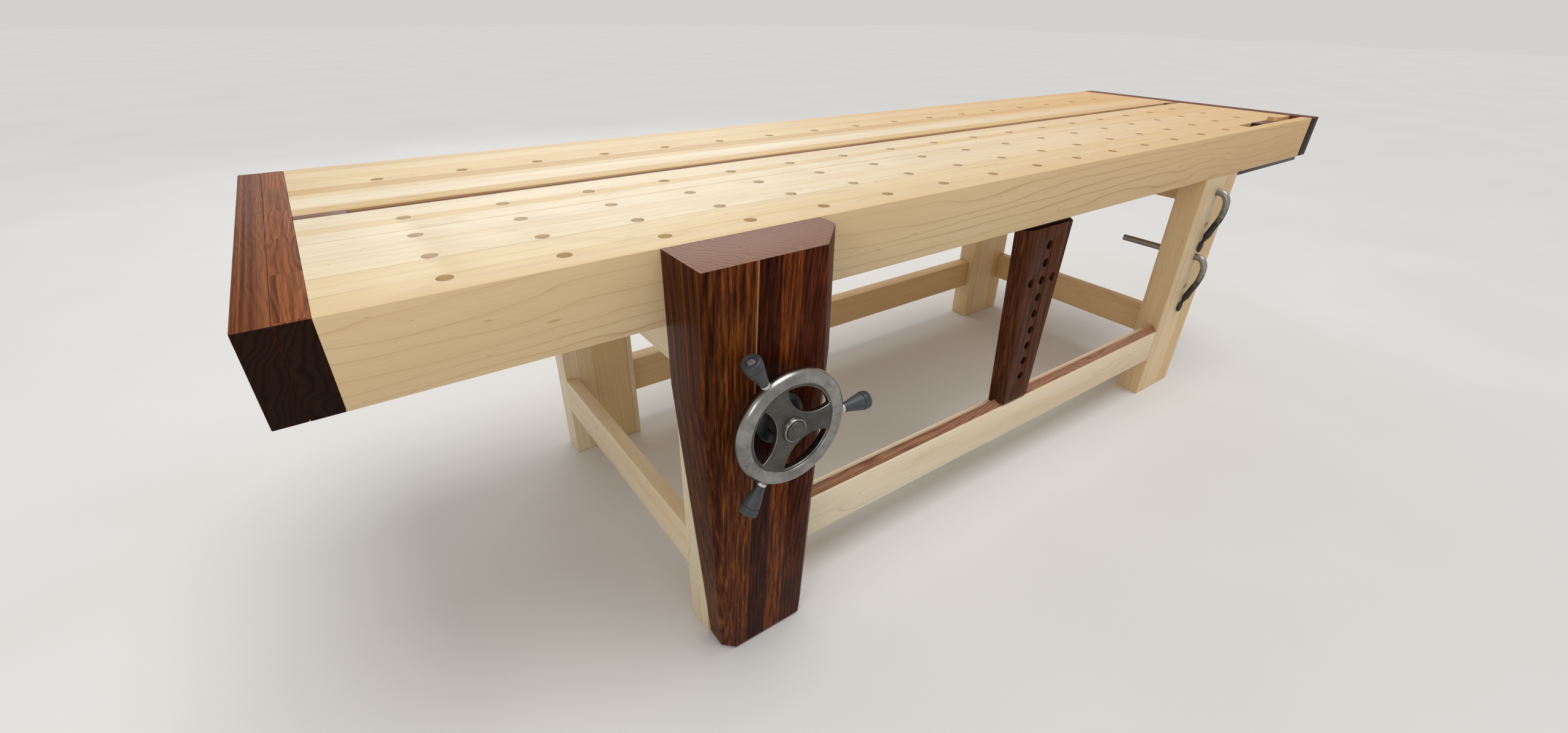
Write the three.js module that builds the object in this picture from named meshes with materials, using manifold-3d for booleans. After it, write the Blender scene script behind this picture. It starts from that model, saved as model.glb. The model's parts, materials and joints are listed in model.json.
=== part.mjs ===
// Split-top woodworking bench with a leg vise at the left front leg, a sliding deadman,
// a wagon vise at the right end and two holdfasts parked in the right front leg.
// Millimetres, +X to the right, +Y to the back, +Z up, floor at Z = 0.
import * as THREE from 'three';
import { mergeVertices } from 'three/addons/utils/BufferGeometryUtils.js';
import { ConvexGeometry } from 'three/addons/geometries/ConvexGeometry.js';
import Module from 'manifold-3d';

const wasm = await Module();
wasm.setup();

// Fits: between seated pieces, between running pieces, and how far a cut passes a face
const GAP = 0.3;
const RUN = 0.3;
const OVERCUT = 1;

// Sides of round pieces
const SIDES_LARGE = 28;
const SIDES_MIDDLE = 20;
const SIDES_SMALL = 12;
const SIDES_DOG_HOLE = 10;
const SIDES_RIM = 36;
const SIDES_HANDLE = 14;
const SIDES_WINDOW = 5;

// Overall sizes
const LENGTH = 2640;
const DEPTH = 749;
const HEIGHT = 766;
const TOP_T = 110;
const UNDER = HEIGHT - TOP_T;

// Top
const CAP_LAYER = 33;
const CAP_LEFT = 2 * CAP_LAYER;
const CAP_RIGHT = 53;
const FRONT_SLAB = 389;
const SPLIT = 22;
const FILLER = 66;
const SLAB_X0 = CAP_LEFT;
const SLAB_X1 = LENGTH - CAP_RIGHT;
const REAR_Y0 = FRONT_SLAB + SPLIT;
const STOP_T = 14;
const STOP_SINK = 3;
const STOP_PLAY = 2;

// Dog holes
const DOG_R = 9.75;
const DOG_STEP = 137.7;
const DOG_FIRST = 129.3;
const DOG_END = 60;
const DOG_ROWS = [43, 130.5, 227, 322];
const DOG_REAR_ROW = 155;
const BLIND_DEPTH = 60;
const LEG_CLEAR = 19.5;
const SLOT_CLEAR = 29;

// Legs and rails
const LEG_W = 178;
const LEG_D = 64;
const LEFT_OVERHANG = 477;
const RIGHT_OVERHANG = 459;
const LEG_XL = LEFT_OVERHANG;
const LEG_XR = LENGTH - RIGHT_OVERHANG - LEG_W;
const TENON_UP = 40;
const TENON_SIDE = 35.6;
const TENON_CHEEK = 16;
const RAIL_T = 30;
const RAIL_H = 90;
const RAIL_Z = 130;
const UPPER_RAIL_H = 98;
const RAIL_TENON = 40;
const RAIL_CHEEK = 6;
const RAIL_SHOULDER = 18;
const STRETCHER_T = 44;
const STRETCHER_H = 92;
const STRETCHER_Z = 121;
const STRETCHER_TENON = 50;
const STRETCHER_CHEEK = 11;
const STRETCHER_SHOULDER = 15;
const STRETCHER_TOP = STRETCHER_Z + STRETCHER_H;

// Deadman and its track
const TRACK_Y = 4;
const TRACK_W = 26;
const TRACK_H = 17;
const DEADMAN_SHIFT = 6;
const DEADMAN_X = (LEG_XL + LEG_W + LEG_XR) / 2 + DEADMAN_SHIFT;
const DEADMAN_TOP_W = 166;
const DEADMAN_FOOT_W = 112;
const DEADMAN_T = 35;
const DEADMAN_BEVEL = 14;
const DEADMAN_SHOULDER = 9;
const DEADMAN_LIFT = 6;
const NOTCH_MOUTH = 2;
const TONGUE_Y = 10;
const TONGUE_T = 15;
const TONGUE_H = 12;
const TONGUE_ROOT = 2;
const GROOVE_H = 20;
const GROOVE_PLAY = 0.5;
const GROOVE_END = 10;
const PEG_STEP = 40;
const PEG_TOP = 51;
const PEG_END = 50;
const PEG_SIDE = 38;
const PEG_SIDE_ROW = 2;

// Leg vise
const VISE_SIDE = 91;
const VISE_DROP = 147;
const VISE_X = LEG_XL + VISE_SIDE;
const VISE_Z = UNDER - VISE_DROP;
const CHOP_LEFT = 126;
const CHOP_RIGHT = 135;
const CHOP_X0 = VISE_X - CHOP_LEFT;
const CHOP_X1 = VISE_X + CHOP_RIGHT;
const CHOP_T = 105;
const CHOP_FOOT_T = 58;
const CHOP_KNEE = 203;
const CHOP_TAPER = 40;
const CHOP_BEVEL = 38;
const CHOP_FLOOR = 6;
const CHOP_LEFT_BEVEL_TOP = 1;
const CHOP_LEFT_BEVEL_KNEE = 3;
const CHOP_LEFT_BEVEL_FOOT = 20;
const SCREW_R = 15;
const SCREW_NOSE_R = 10;
const SCREW_REACH = 310;
const SCREW_TIP = 4;
const SCREW_TIP_R = 12;
const SCREW_PLAY_LEG = 3;
const SCREW_PLAY_CHOP = 1;
const SEAT_SINK = 3;
const FLANGE_R = 42;
const FLANGE_T = 12;
const FLANGE_RIM_T = 8;
const FLANGE_BOSS_R = 28;
const FLANGE_PLAY = 1;
const NUT_R = 45;
const NUT_RIM_T = 10;
const NUT_LEN = 46;
const NUT_NECK_R = 26;
const NUT_NECK = 14;
const NUT_END_R = 24;

// Handwheel and handles
const WHEEL_OUT = 22.8;
const RIM_R = 82;
const RIM_TUBE = 12.5;
const RIM_OUT = RIM_R + RIM_TUBE;
const WEB_T = 9;
const WEB_FRONT = 7;
const WINDOW_INSIDE = 5;
const WINDOW_LIP = 1.5;
const WINDOW_SPREAD = 35;
const WINDOW_TIP = 43;
const WINDOW_CORNER = 10;
const HUB_R = 24;
const HUB_FOOT_R = 27;
const HUB_PROUD = 0.5;
const HUB_CAP_R = 19;
const HUB_CAP_SINK = 3;
const HUB_CAP_T = 5.6;
const HUB_CAP_EDGE = 3;
const NOSE_END = 6;
const NOSE_BORE_END = 5;
const HANDLE_NAMES = ['right', 'upper', 'lower'];
const HANDLE_ANGLES = [-2, 118, 238];
const HANDLE_LEN = 47;
const HANDLE_R = 15;
const HANDLE_NECK = 7.5;
const HANDLE_NECK_LEN = 6;
const HANDLE_SWELL = 30;
const HANDLE_SWELL_R = 11.5;
const HANDLE_BAND = 7.5;
const HANDLE_TIP = 8;
const HANDLE_NOSE = 3;
const HANDLE_STEP = 1;
const HANDLE_COLLAR = 5;
const COLLAR_SINK = 1.5;
const COLLAR_R = 7.2;
const SPINDLE_R = 3.5;
const SPINDLE_SET = 15;
const SPINDLE_HEAD_R = 6;
const SPINDLE_HEAD_T = 3;
const SPINDLE_HEAD_SINK = 1;
const SPINDLE_HEAD_PLAY = 0.6;

// Cross linkage inside leg and chop
const ARM_LEN = 360;
const ARM_W = 30;
const ARM_T = 12;
const ARM_FOOT_R = 10.5;
const ARM_PIN_R = 5;
const ARM_PIN_REACH = 14;
const ARM_DROP = 59;
const ARM_PIN_Z = VISE_Z - ARM_DROP;
const ARM_SET = 25;
const LINK_DEPTH = 50;
const LINK_SIDE = 6;
const LINK_END = 25;

// Wagon vise
const SLOT_LEN = 360;
const SLOT_W = 30;
const SLOT_X0 = SLAB_X1 - SLOT_LEN;
const BLOCK_REST = 93;
const BLOCK_X0 = SLOT_X0 + BLOCK_REST;
const BLOCK_LEN = 120;
const BLOCK_X1 = BLOCK_X0 + BLOCK_LEN;
const BLOCK_FLANGE_T = 7;
const BLOCK_FLANGE_W = 70;
const BLOCK_DOG = 95;
const BLOCK_DOG_X = BLOCK_X0 + BLOCK_DOG;
const BLOCK_DOG_DEPTH = 42;
const WAGON_DOG_LEN = 30;
const WAGON_DOG_W = 18;
const DOG_PROUD = 12;
const GUIDE_T = 4;
const GUIDE_LIP = 20;
const GUIDE_START = 8;
const TAIL_RISE = 40;
const TAIL_Z = UNDER + TAIL_RISE;
const TAIL_R = 11;
const TAIL_PLAY = 1;
const TAIL_TIP = 13;
const TAIL_CHAMFER = 3;
const TAIL_TIP_R = 9;
const TAIL_NOSE_R = 7;
const TAIL_NOSE = 16;
const TAIL_BORE = 17;
const TAIL_FLANGE_R = 32;
const TAIL_FLANGE_T = 10;
const TAIL_FLANGE_RIM_T = 6;
const TAIL_FLANGE_BOSS_R = 20;
const TAIL_WHEEL_R = 26;
const TAIL_TUBE = 6;
const TAIL_SPOKES = 3;
const TAIL_SPOKE_R = 4.5;
const TAIL_HUB_R = 14;
const TAIL_HUB_END_R = 12;
const TAIL_HUB_LEN = 24;

// Holdfasts
const HOLD_DROP = 43;
const HOLD_STEP = 92;
const HOLD_COUNT = 4;
const HOLD_R = 9;
const HOLD_ARM_R = 8.4;
const HOLD_BEHIND = 212;
const HOLD_REACH = 161;
const HOLD_OUT = 33;
const HOLD_SHANK_OUT = 16;
const PAD_HALF_W = 13;
const PAD_T = 8;
const PAD_HALF_LEN = 26;
const PAD_RISE = 20;

// Cap bolts
const BOLT_R = 6;
const BOLT_HEAD_R = 11;
const BOLT_HEAD_T = 10;
const BOLT_SINK = 4;
const BOLT_BITE = 90;

// A geometry becomes a closed manifold, and a manifold a geometry again.
function solid(geometry) {
  const bare = geometry.clone();
  bare.deleteAttribute('normal');
  bare.deleteAttribute('uv');
  const welded = mergeVertices(bare, 1e-4);
  const mesh = new wasm.Mesh({
    numProp: 3,
    vertProperties: new Float32Array(welded.attributes.position.array),
    triVerts: new Uint32Array(welded.index.array),
  });
  return new wasm.Manifold(mesh);
}

function geometryOf(body) {
  const mesh = body.getMesh();
  const geometry = new THREE.BufferGeometry();
  geometry.setAttribute('position', new THREE.BufferAttribute(new Float32Array(mesh.vertProperties), 3));
  geometry.setIndex(new THREE.BufferAttribute(new Uint32Array(mesh.triVerts), 1));
  geometry.computeVertexNormals();
  return geometry;
}

function box(x0, x1, y0, y1, z0, z1) {
  const geometry = new THREE.BoxGeometry(x1 - x0, y1 - y0, z1 - z0);
  geometry.translate((x0 + x1) / 2, (y0 + y1) / 2, (z0 + z1) / 2);
  return solid(geometry);
}

// A lathe profile of [radius, along] pairs, turned about the axis that starts at a point.
function turned(profile, origin, direction, sides) {
  const points = profile.map(([r, a]) => new THREE.Vector2(r, a));
  const geometry = new THREE.LatheGeometry(points, sides);
  const up = new THREE.Vector3(0, 1, 0);
  geometry.applyQuaternion(new THREE.Quaternion().setFromUnitVectors(up, direction.clone().normalize()));
  geometry.translate(origin.x, origin.y, origin.z);
  return solid(geometry);
}

function plug(radius, length, origin, direction, sides) {
  return turned([[0, 0], [radius, 0], [radius, length], [0, length]], origin, direction, sides);
}

function rod(radius, from, to, sides) {
  const start = new THREE.Vector3(...from);
  const axis = new THREE.Vector3(...to).sub(start);
  return plug(radius, axis.length(), start, axis, sides);
}

// A closed outline in the YZ plane, drawn out along X.
function alongX(outline, x0, x1) {
  const shape = new THREE.Shape(outline.map(([y, z]) => new THREE.Vector2(y, z)));
  const geometry = new THREE.ExtrudeGeometry(shape, { depth: x1 - x0, bevelEnabled: false });
  geometry.applyMatrix4(new THREE.Matrix4().set(0, 0, 1, x0, 1, 0, 0, 0, 0, 1, 0, 0, 0, 0, 0, 1));
  return solid(geometry);
}

function cut(body, tools) {
  return tools.reduce((rest, tool) => rest.subtract(tool), body);
}

function join(bodies) {
  return bodies.reduce((sum, body) => sum.add(body));
}

const bench = new THREE.Group();
bench.name = 'woodworking_bench';

const MAPLE = '#e6d3ae';
const WALNUT = '#6b4630';
const STEEL = '#8d9092';
const CASTING = '#b4b5b4';
const DARK_IRON = '#2e2e30';
const PLASTIC = '#54575b';
const METALS = [STEEL, CASTING, DARK_IRON];

function place(name, body, color) {
  const metalness = METALS.includes(color) ? 0.9 : 0;
  const material = new THREE.MeshStandardMaterial({ color, metalness, roughness: 0.55 });
  const mesh = new THREE.Mesh(geometryOf(body), material);
  mesh.name = name;
  bench.add(mesh);
}

// Legs: four posts, each with a tenon into the slab above it.
const legs = [
  { name: 'leg_front_left', x: LEG_XL, y: 0 },
  { name: 'leg_front_right', x: LEG_XR, y: 0 },
  { name: 'leg_rear_left', x: LEG_XL, y: DEPTH - LEG_D },
  { name: 'leg_rear_right', x: LEG_XR, y: DEPTH - LEG_D },
];

function legTenon(leg, grow) {
  return box(
    leg.x + TENON_SIDE - grow, leg.x + LEG_W - TENON_SIDE + grow,
    leg.y + TENON_CHEEK - grow, leg.y + LEG_D - TENON_CHEEK + grow,
    UNDER - GAP - OVERCUT, UNDER + TENON_UP + grow,
  );
}

// Side rails run front to back, flush with the outer faces of the legs.
const railRight = LEG_XR + LEG_W - RAIL_T;
const upperRailZ = UNDER - GAP - UPPER_RAIL_H;
const rails = [
  { name: 'rail_lower_left', x: LEG_XL, z: RAIL_Z, h: RAIL_H },
  { name: 'rail_lower_right', x: railRight, z: RAIL_Z, h: RAIL_H },
  { name: 'rail_upper_left', x: LEG_XL, z: upperRailZ, h: UPPER_RAIL_H },
  { name: 'rail_upper_right', x: railRight, z: upperRailZ, h: UPPER_RAIL_H },
];

function railTenons(rail, grow) {
  return box(
    rail.x + RAIL_CHEEK - grow, rail.x + RAIL_T - RAIL_CHEEK + grow,
    LEG_D - RAIL_TENON - grow, DEPTH - LEG_D + RAIL_TENON + grow,
    rail.z + RAIL_SHOULDER - grow, rail.z + rail.h - RAIL_SHOULDER + grow,
  );
}

// Stretchers run between the legs, flush with the front and with the back.
const stretchers = [
  { name: 'stretcher_front', y: 0 },
  { name: 'stretcher_rear', y: DEPTH - STRETCHER_T },
];

function stretcherTenons(stretcher, grow) {
  return box(
    LEG_XL + LEG_W - STRETCHER_TENON - grow, LEG_XR + STRETCHER_TENON + grow,
    stretcher.y + STRETCHER_CHEEK - grow, stretcher.y + STRETCHER_T - STRETCHER_CHEEK + grow,
    STRETCHER_Z + STRETCHER_SHOULDER - grow, STRETCHER_TOP - STRETCHER_SHOULDER + grow,
  );
}

// The hollow for the cross linkage has the same width in the leg and in the chop.
const LINK_X0 = VISE_X - ARM_T - LINK_SIDE;
const LINK_X1 = VISE_X + ARM_T + LINK_SIDE;
const LINK_Z0 = ARM_PIN_Z - ARM_LEN - LINK_END;
const LINK_Z1 = ARM_PIN_Z + LINK_END;

function armPin(y, grow) {
  const reach = ARM_PIN_REACH + grow;
  const from = [LINK_X0 - reach, y, ARM_PIN_Z];
  const to = [LINK_X1 + reach, y, ARM_PIN_Z];
  return rod(ARM_PIN_R + grow, from, to, SIDES_SMALL);
}

// Holdfast holes go down the right front leg, evenly spaced.
const HOLD_X = LEG_XR + LEG_W / 2;
const holdHoles = Array.from({ length: HOLD_COUNT }, (_, i) => UNDER - HOLD_DROP - i * HOLD_STEP);

function throughLeg(radius, x, z, sides) {
  return rod(radius, [x, -OVERCUT, z], [x, LEG_D + OVERCUT, z], sides);
}

for (const leg of legs) {
  const post = box(leg.x, leg.x + LEG_W, leg.y, leg.y + LEG_D, 0, UNDER - GAP).add(legTenon(leg, 0));
  const tools = rails.map((rail) => railTenons(rail, GAP));
  tools.push(...stretchers.map((stretcher) => stretcherTenons(stretcher, GAP)));
  if (leg.name === 'leg_front_left') {
    tools.push(box(LINK_X0, LINK_X1, -OVERCUT, LINK_DEPTH, LINK_Z0, LINK_Z1));
    tools.push(armPin(ARM_SET, GAP));
    tools.push(throughLeg(SCREW_R + SCREW_PLAY_LEG, VISE_X, VISE_Z, SIDES_MIDDLE));
  }
  if (leg.name === 'leg_front_right') {
    tools.push(...holdHoles.map((z) => throughLeg(DOG_R, HOLD_X, z, SIDES_MIDDLE)));
  }
  place(leg.name, cut(post, tools), MAPLE);
}

for (const rail of rails) {
  const bar = box(rail.x, rail.x + RAIL_T, LEG_D + GAP, DEPTH - LEG_D - GAP, rail.z, rail.z + rail.h);
  place(rail.name, bar.add(railTenons(rail, 0)), MAPLE);
}

for (const stretcher of stretchers) {
  const bar = box(
    LEG_XL + LEG_W + GAP, LEG_XR - GAP,
    stretcher.y, stretcher.y + STRETCHER_T,
    STRETCHER_Z, STRETCHER_TOP,
  );
  place(stretcher.name, bar.add(stretcherTenons(stretcher, 0)), MAPLE);
}

// Deadman track: a walnut ridge on top of the front stretcher.
const trackZ = STRETCHER_TOP + GAP;
const ridgeY = TRACK_Y + TRACK_W / 2;
const ridgeZ = trackZ + TRACK_H;
const ridge = [[TRACK_Y, trackZ], [TRACK_Y + TRACK_W, trackZ], [ridgeY, ridgeZ]];
place('deadman_track', alongX(ridge, LEG_XL + LEG_W + GAP, LEG_XR - GAP), WALNUT);

// Deadman: a tapered board with a tongue above, a notch below and a line of peg holes.
const deadmanZ0 = STRETCHER_TOP + DEADMAN_LIFT;
const deadmanZ1 = UNDER - DEADMAN_SHOULDER;
function deadmanSection(width, z) {
  const half = width / 2;
  return [
    [-half, DEADMAN_T], [-half, DEADMAN_BEVEL], [DEADMAN_BEVEL - half, 0],
    [half - DEADMAN_BEVEL, 0], [half, DEADMAN_BEVEL], [half, DEADMAN_T],
  ].map(([x, y]) => new THREE.Vector3(DEADMAN_X + x, y, z));
}
const deadmanBoard = solid(new ConvexGeometry([
  ...deadmanSection(DEADMAN_FOOT_W, deadmanZ0),
  ...deadmanSection(DEADMAN_TOP_W, deadmanZ1),
]));
const tongueHalf = DEADMAN_TOP_W / 2 - DEADMAN_BEVEL;
const tongue = box(
  DEADMAN_X - tongueHalf, DEADMAN_X + tongueHalf,
  TONGUE_Y, TONGUE_Y + TONGUE_T,
  deadmanZ1 - TONGUE_ROOT, UNDER + TONGUE_H,
);
const notchTop = ridgeZ + GAP;
const notchFoot = notchTop - TRACK_H - NOTCH_MOUTH;
const notchHalf = (notchTop - notchFoot) * (TRACK_W / 2) / TRACK_H;
const notch = alongX(
  [[ridgeY - notchHalf, notchFoot], [ridgeY + notchHalf, notchFoot], [ridgeY, notchTop]],
  DEADMAN_X - DEADMAN_TOP_W, DEADMAN_X + DEADMAN_TOP_W,
);
const pegTop = UNDER - PEG_TOP;
const pegSpots = [];
for (let z = pegTop; z >= deadmanZ0 + PEG_END; z -= PEG_STEP) {
  pegSpots.push([DEADMAN_X, z]);
}
pegSpots.push([DEADMAN_X - PEG_SIDE, pegTop - PEG_SIDE_ROW * PEG_STEP]);
pegSpots.push([DEADMAN_X + PEG_SIDE, pegTop - PEG_SIDE_ROW * PEG_STEP]);
const pegHoles = pegSpots.map(([x, z]) => (
  rod(DOG_R, [x, -OVERCUT, z], [x, DEADMAN_T + OVERCUT, z], SIDES_SMALL)
));
place('deadman', cut(deadmanBoard.add(tongue), [notch, ...pegHoles]), WALNUT);

// Cap bolts hold each end cap to both slabs.
const boltYs = [FRONT_SLAB / 2, (REAR_Y0 + DEPTH) / 2];
const BOLT_Z = UNDER + TOP_T / 2;
function boltAxis(left, y, inset) {
  const start = new THREE.Vector3(left ? inset : LENGTH - inset, y, BOLT_Z);
  return [start, new THREE.Vector3(left ? 1 : -1, 0, 0)];
}
function capBolt(left, y) {
  const cap = left ? CAP_LEFT : CAP_RIGHT;
  const end = cap + BOLT_BITE - BOLT_SINK;
  return turned([
    [0, 0], [BOLT_HEAD_R, 0], [BOLT_HEAD_R, BOLT_HEAD_T],
    [BOLT_R, BOLT_HEAD_T], [BOLT_R, end], [0, end],
  ], ...boltAxis(left, y, BOLT_SINK), SIDES_SMALL);
}
function boltHole(left, y) {
  const cap = left ? CAP_LEFT : CAP_RIGHT;
  const head = OVERCUT + BOLT_SINK + BOLT_HEAD_T + GAP;
  const end = OVERCUT + cap + BOLT_BITE + GAP;
  return turned([
    [0, 0], [BOLT_HEAD_R + GAP, 0], [BOLT_HEAD_R + GAP, head],
    [BOLT_R + GAP, head], [BOLT_R + GAP, end], [0, end],
  ], ...boltAxis(left, y, -OVERCUT), SIDES_SMALL);
}

// Front slab: dog holes, the wagon vise slot, the deadman groove and the leg mortises.
const slotY = DOG_ROWS[0];
const dogColumns = [];
for (let x = SLAB_X0 + DOG_FIRST; x <= SLAB_X1 - DOG_END; x += DOG_STEP) {
  dogColumns.push(x);
}
function dogHole(x, y, floor) {
  return rod(DOG_R, [x, y, floor], [x, y, HEIGHT + OVERCUT], SIDES_DOG_HOLE);
}
function overLeg(x) {
  return [LEG_XL, LEG_XR].some((side) => x > side - LEG_CLEAR && x < side + LEG_W + LEG_CLEAR);
}
const through = UNDER - OVERCUT;
const frontTools = dogColumns
  .filter((x) => x < SLOT_X0 - SLOT_CLEAR)
  .map((x) => dogHole(x, slotY, overLeg(x) ? HEIGHT - BLIND_DEPTH : through));
for (const y of DOG_ROWS.slice(1)) {
  frontTools.push(...dogColumns.map((x) => dogHole(x, y, through)));
}
frontTools.push(box(
  SLOT_X0, SLAB_X1 + OVERCUT,
  slotY - SLOT_W / 2, slotY + SLOT_W / 2,
  through, HEIGHT + OVERCUT,
));
frontTools.push(box(
  LEG_XL + LEG_W + GROOVE_END, LEG_XR - GROOVE_END,
  TONGUE_Y - GROOVE_PLAY, TONGUE_Y + TONGUE_T + GROOVE_PLAY,
  through, UNDER + GROOVE_H,
));
frontTools.push(...legs.filter((leg) => leg.y === 0).map((leg) => legTenon(leg, GAP)));
frontTools.push(boltHole(true, boltYs[0]), boltHole(false, boltYs[0]));
place('slab_front', cut(box(SLAB_X0, SLAB_X1, 0, FRONT_SLAB, UNDER, HEIGHT), frontTools), MAPLE);

// Rear slab: one row of dog holes and the rear leg mortises.
const rearTools = dogColumns.map((x) => dogHole(x, DEPTH - DOG_REAR_ROW, through));
rearTools.push(...legs.filter((leg) => leg.y > 0).map((leg) => legTenon(leg, GAP)));
rearTools.push(boltHole(true, boltYs[1]), boltHole(false, boltYs[1]));
place('slab_rear', cut(box(SLAB_X0, SLAB_X1, REAR_Y0, DEPTH, UNDER, HEIGHT), rearTools), MAPLE);

// End caps: two layers at the left, one at the right with the tail screw bore.
const leftHoles = boltYs.map((y) => boltHole(true, y));
const rightHoles = boltYs.map((y) => boltHole(false, y));
const tailBore = rod(
  TAIL_R + TAIL_PLAY,
  [SLAB_X1 - OVERCUT, slotY, TAIL_Z], [LENGTH + OVERCUT, slotY, TAIL_Z],
  SIDES_MIDDLE,
);
const innerCap = box(CAP_LAYER + GAP, CAP_LEFT - GAP, 0, DEPTH, UNDER, HEIGHT);
const rightCap = box(SLAB_X1 + GAP, LENGTH, 0, DEPTH, UNDER, HEIGHT);
place('cap_left_outer', cut(box(0, CAP_LAYER, 0, DEPTH, UNDER, HEIGHT), leftHoles), WALNUT);
place('cap_left_inner', cut(innerCap, leftHoles), WALNUT);
place('cap_right', cut(rightCap, [...rightHoles, tailBore]), WALNUT);
place('cap_bolt_left_front', capBolt(true, boltYs[0]), STEEL);
place('cap_bolt_left_rear', capBolt(true, boltYs[1]), STEEL);
place('cap_bolt_right_front', capBolt(false, boltYs[0]), STEEL);
place('cap_bolt_right_rear', capBolt(false, boltYs[1]), STEEL);

// Split between the slabs: a filler at each end and the loose stop that lies in it.
const fillerY0 = FRONT_SLAB + GAP;
const fillerY1 = REAR_Y0 - GAP;
place('filler_left', box(SLAB_X0, SLAB_X0 + FILLER, fillerY0, fillerY1, UNDER, HEIGHT), WALNUT);
place('filler_right', box(SLAB_X1 - FILLER, SLAB_X1, fillerY0, fillerY1, UNDER, HEIGHT), WALNUT);
place('gap_stop', box(
  SLAB_X0 + FILLER + STOP_PLAY, SLAB_X1 - FILLER - STOP_PLAY,
  fillerY1 - STOP_T, fillerY1,
  UNDER, HEIGHT - STOP_SINK,
), WALNUT);

// Chop: thins towards the floor, tapers below the knee, bevelled along its right front edge.
function chopFront(z) {
  const share = (HEIGHT - z) / (HEIGHT - CHOP_FLOOR);
  return -(CHOP_T + (CHOP_FOOT_T - CHOP_T) * share);
}
function chopSection(z, taper, leftBevel) {
  const front = chopFront(z);
  const left = CHOP_X0 + taper;
  const right = CHOP_X1 - taper;
  return [
    [left, -GAP], [left, front + leftBevel], [left + leftBevel, front],
    [right + CHOP_BEVEL + front, front], [right, -CHOP_BEVEL], [right, -GAP],
  ].map(([x, y]) => new THREE.Vector3(x, y, z));
}
const chopBoard = solid(new ConvexGeometry([
  ...chopSection(HEIGHT, 0, CHOP_LEFT_BEVEL_TOP),
  ...chopSection(HEIGHT - CHOP_KNEE, 0, CHOP_LEFT_BEVEL_KNEE),
  ...chopSection(CHOP_FLOOR, CHOP_TAPER, CHOP_LEFT_BEVEL_FOOT),
]));
const seatY = chopFront(VISE_Z) + SEAT_SINK;
const chopMouth = -CHOP_T - OVERCUT;
place('chop', cut(chopBoard, [
  box(LINK_X0, LINK_X1, -LINK_DEPTH, OVERCUT, LINK_Z0, LINK_Z1),
  armPin(-ARM_SET, GAP),
  rod(SCREW_R + SCREW_PLAY_CHOP, [VISE_X, chopMouth, VISE_Z], [VISE_X, OVERCUT, VISE_Z], SIDES_MIDDLE),
  rod(FLANGE_R + FLANGE_PLAY, [VISE_X, chopMouth, VISE_Z], [VISE_X, seatY, VISE_Z], SIDES_LARGE),
]), WALNUT);

// Cross linkage: one arm hangs from the leg, the other from the chop.
const lean = Math.asin(2 * ARM_SET / ARM_LEN);
function crossArm(x0, pinY, side) {
  const footY = pinY - side * 2 * ARM_SET;
  const footZ = ARM_PIN_Z - ARM_LEN * Math.cos(lean);
  const across = new THREE.Vector2(ARM_PIN_Z - footZ, footY - pinY).normalize();
  const edge = (y, z, half) => [y + across.x * half, z + across.y * half];
  const x1 = x0 + ARM_T;
  const outline = [
    edge(pinY, ARM_PIN_Z, ARM_W / 2), edge(pinY, ARM_PIN_Z, -ARM_W / 2),
    edge(footY, footZ, -ARM_FOOT_R), edge(footY, footZ, ARM_FOOT_R),
  ];
  const eye = rod(ARM_W / 2, [x0, pinY, ARM_PIN_Z], [x1, pinY, ARM_PIN_Z], SIDES_MIDDLE);
  const foot = rod(ARM_FOOT_R, [x0, footY, footZ], [x1, footY, footZ], SIDES_SMALL);
  const from = [x0 - OVERCUT, pinY, ARM_PIN_Z];
  const to = [x1 + OVERCUT, pinY, ARM_PIN_Z];
  return cut(join([alongX(outline, x0, x1), eye, foot]), [rod(ARM_PIN_R + RUN, from, to, SIDES_SMALL)]);
}
place('cross_arm_leg', crossArm(VISE_X - ARM_T - GAP, ARM_SET, 1), STEEL);
place('cross_arm_chop', crossArm(VISE_X + GAP, -ARM_SET, -1), STEEL);
place('cross_pin_leg', armPin(ARM_SET, 0), STEEL);
place('cross_pin_chop', armPin(-ARM_SET, 0), STEEL);

// Leg vise screw, its flange on the chop and its nut behind the leg.
const toFront = new THREE.Vector3(0, -1, 0);
const toBack = new THREE.Vector3(0, 1, 0);
const viseAt = (y) => new THREE.Vector3(VISE_X, y, VISE_Z);
const hubBack = seatY - GAP - FLANGE_T - GAP;
const wheelY = hubBack - WHEEL_OUT;
const hubFront = wheelY - RIM_TUBE - HUB_PROUD;
const hubLen = hubBack - hubFront;
const screwBore = SCREW_R + RUN;
place('leg_vise_flange', turned([
  [screwBore, 0], [FLANGE_R, 0], [FLANGE_R, FLANGE_RIM_T], [FLANGE_BOSS_R, FLANGE_T],
  [screwBore, FLANGE_T], [screwBore, 0],
], viseAt(seatY - GAP), toFront, SIDES_LARGE), DARK_IRON);
const noseLen = hubLen - NOSE_END;
const screwLen = SCREW_REACH - hubFront - NOSE_END;
place('leg_vise_screw', turned([
  [0, 0], [SCREW_NOSE_R, 0], [SCREW_NOSE_R, noseLen], [SCREW_R, noseLen + GAP],
  [SCREW_R, screwLen - SCREW_TIP], [SCREW_TIP_R, screwLen], [0, screwLen],
], viseAt(hubFront + NOSE_END), toBack, SIDES_MIDDLE), STEEL);
place('leg_vise_nut', turned([
  [screwBore, 0], [NUT_R, 0], [NUT_R, NUT_RIM_T], [NUT_NECK_R, NUT_NECK], [NUT_END_R, NUT_LEN],
  [screwBore, NUT_LEN], [screwBore, 0],
], viseAt(LEG_D + GAP), toBack, SIDES_MIDDLE), DARK_IRON);

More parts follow.
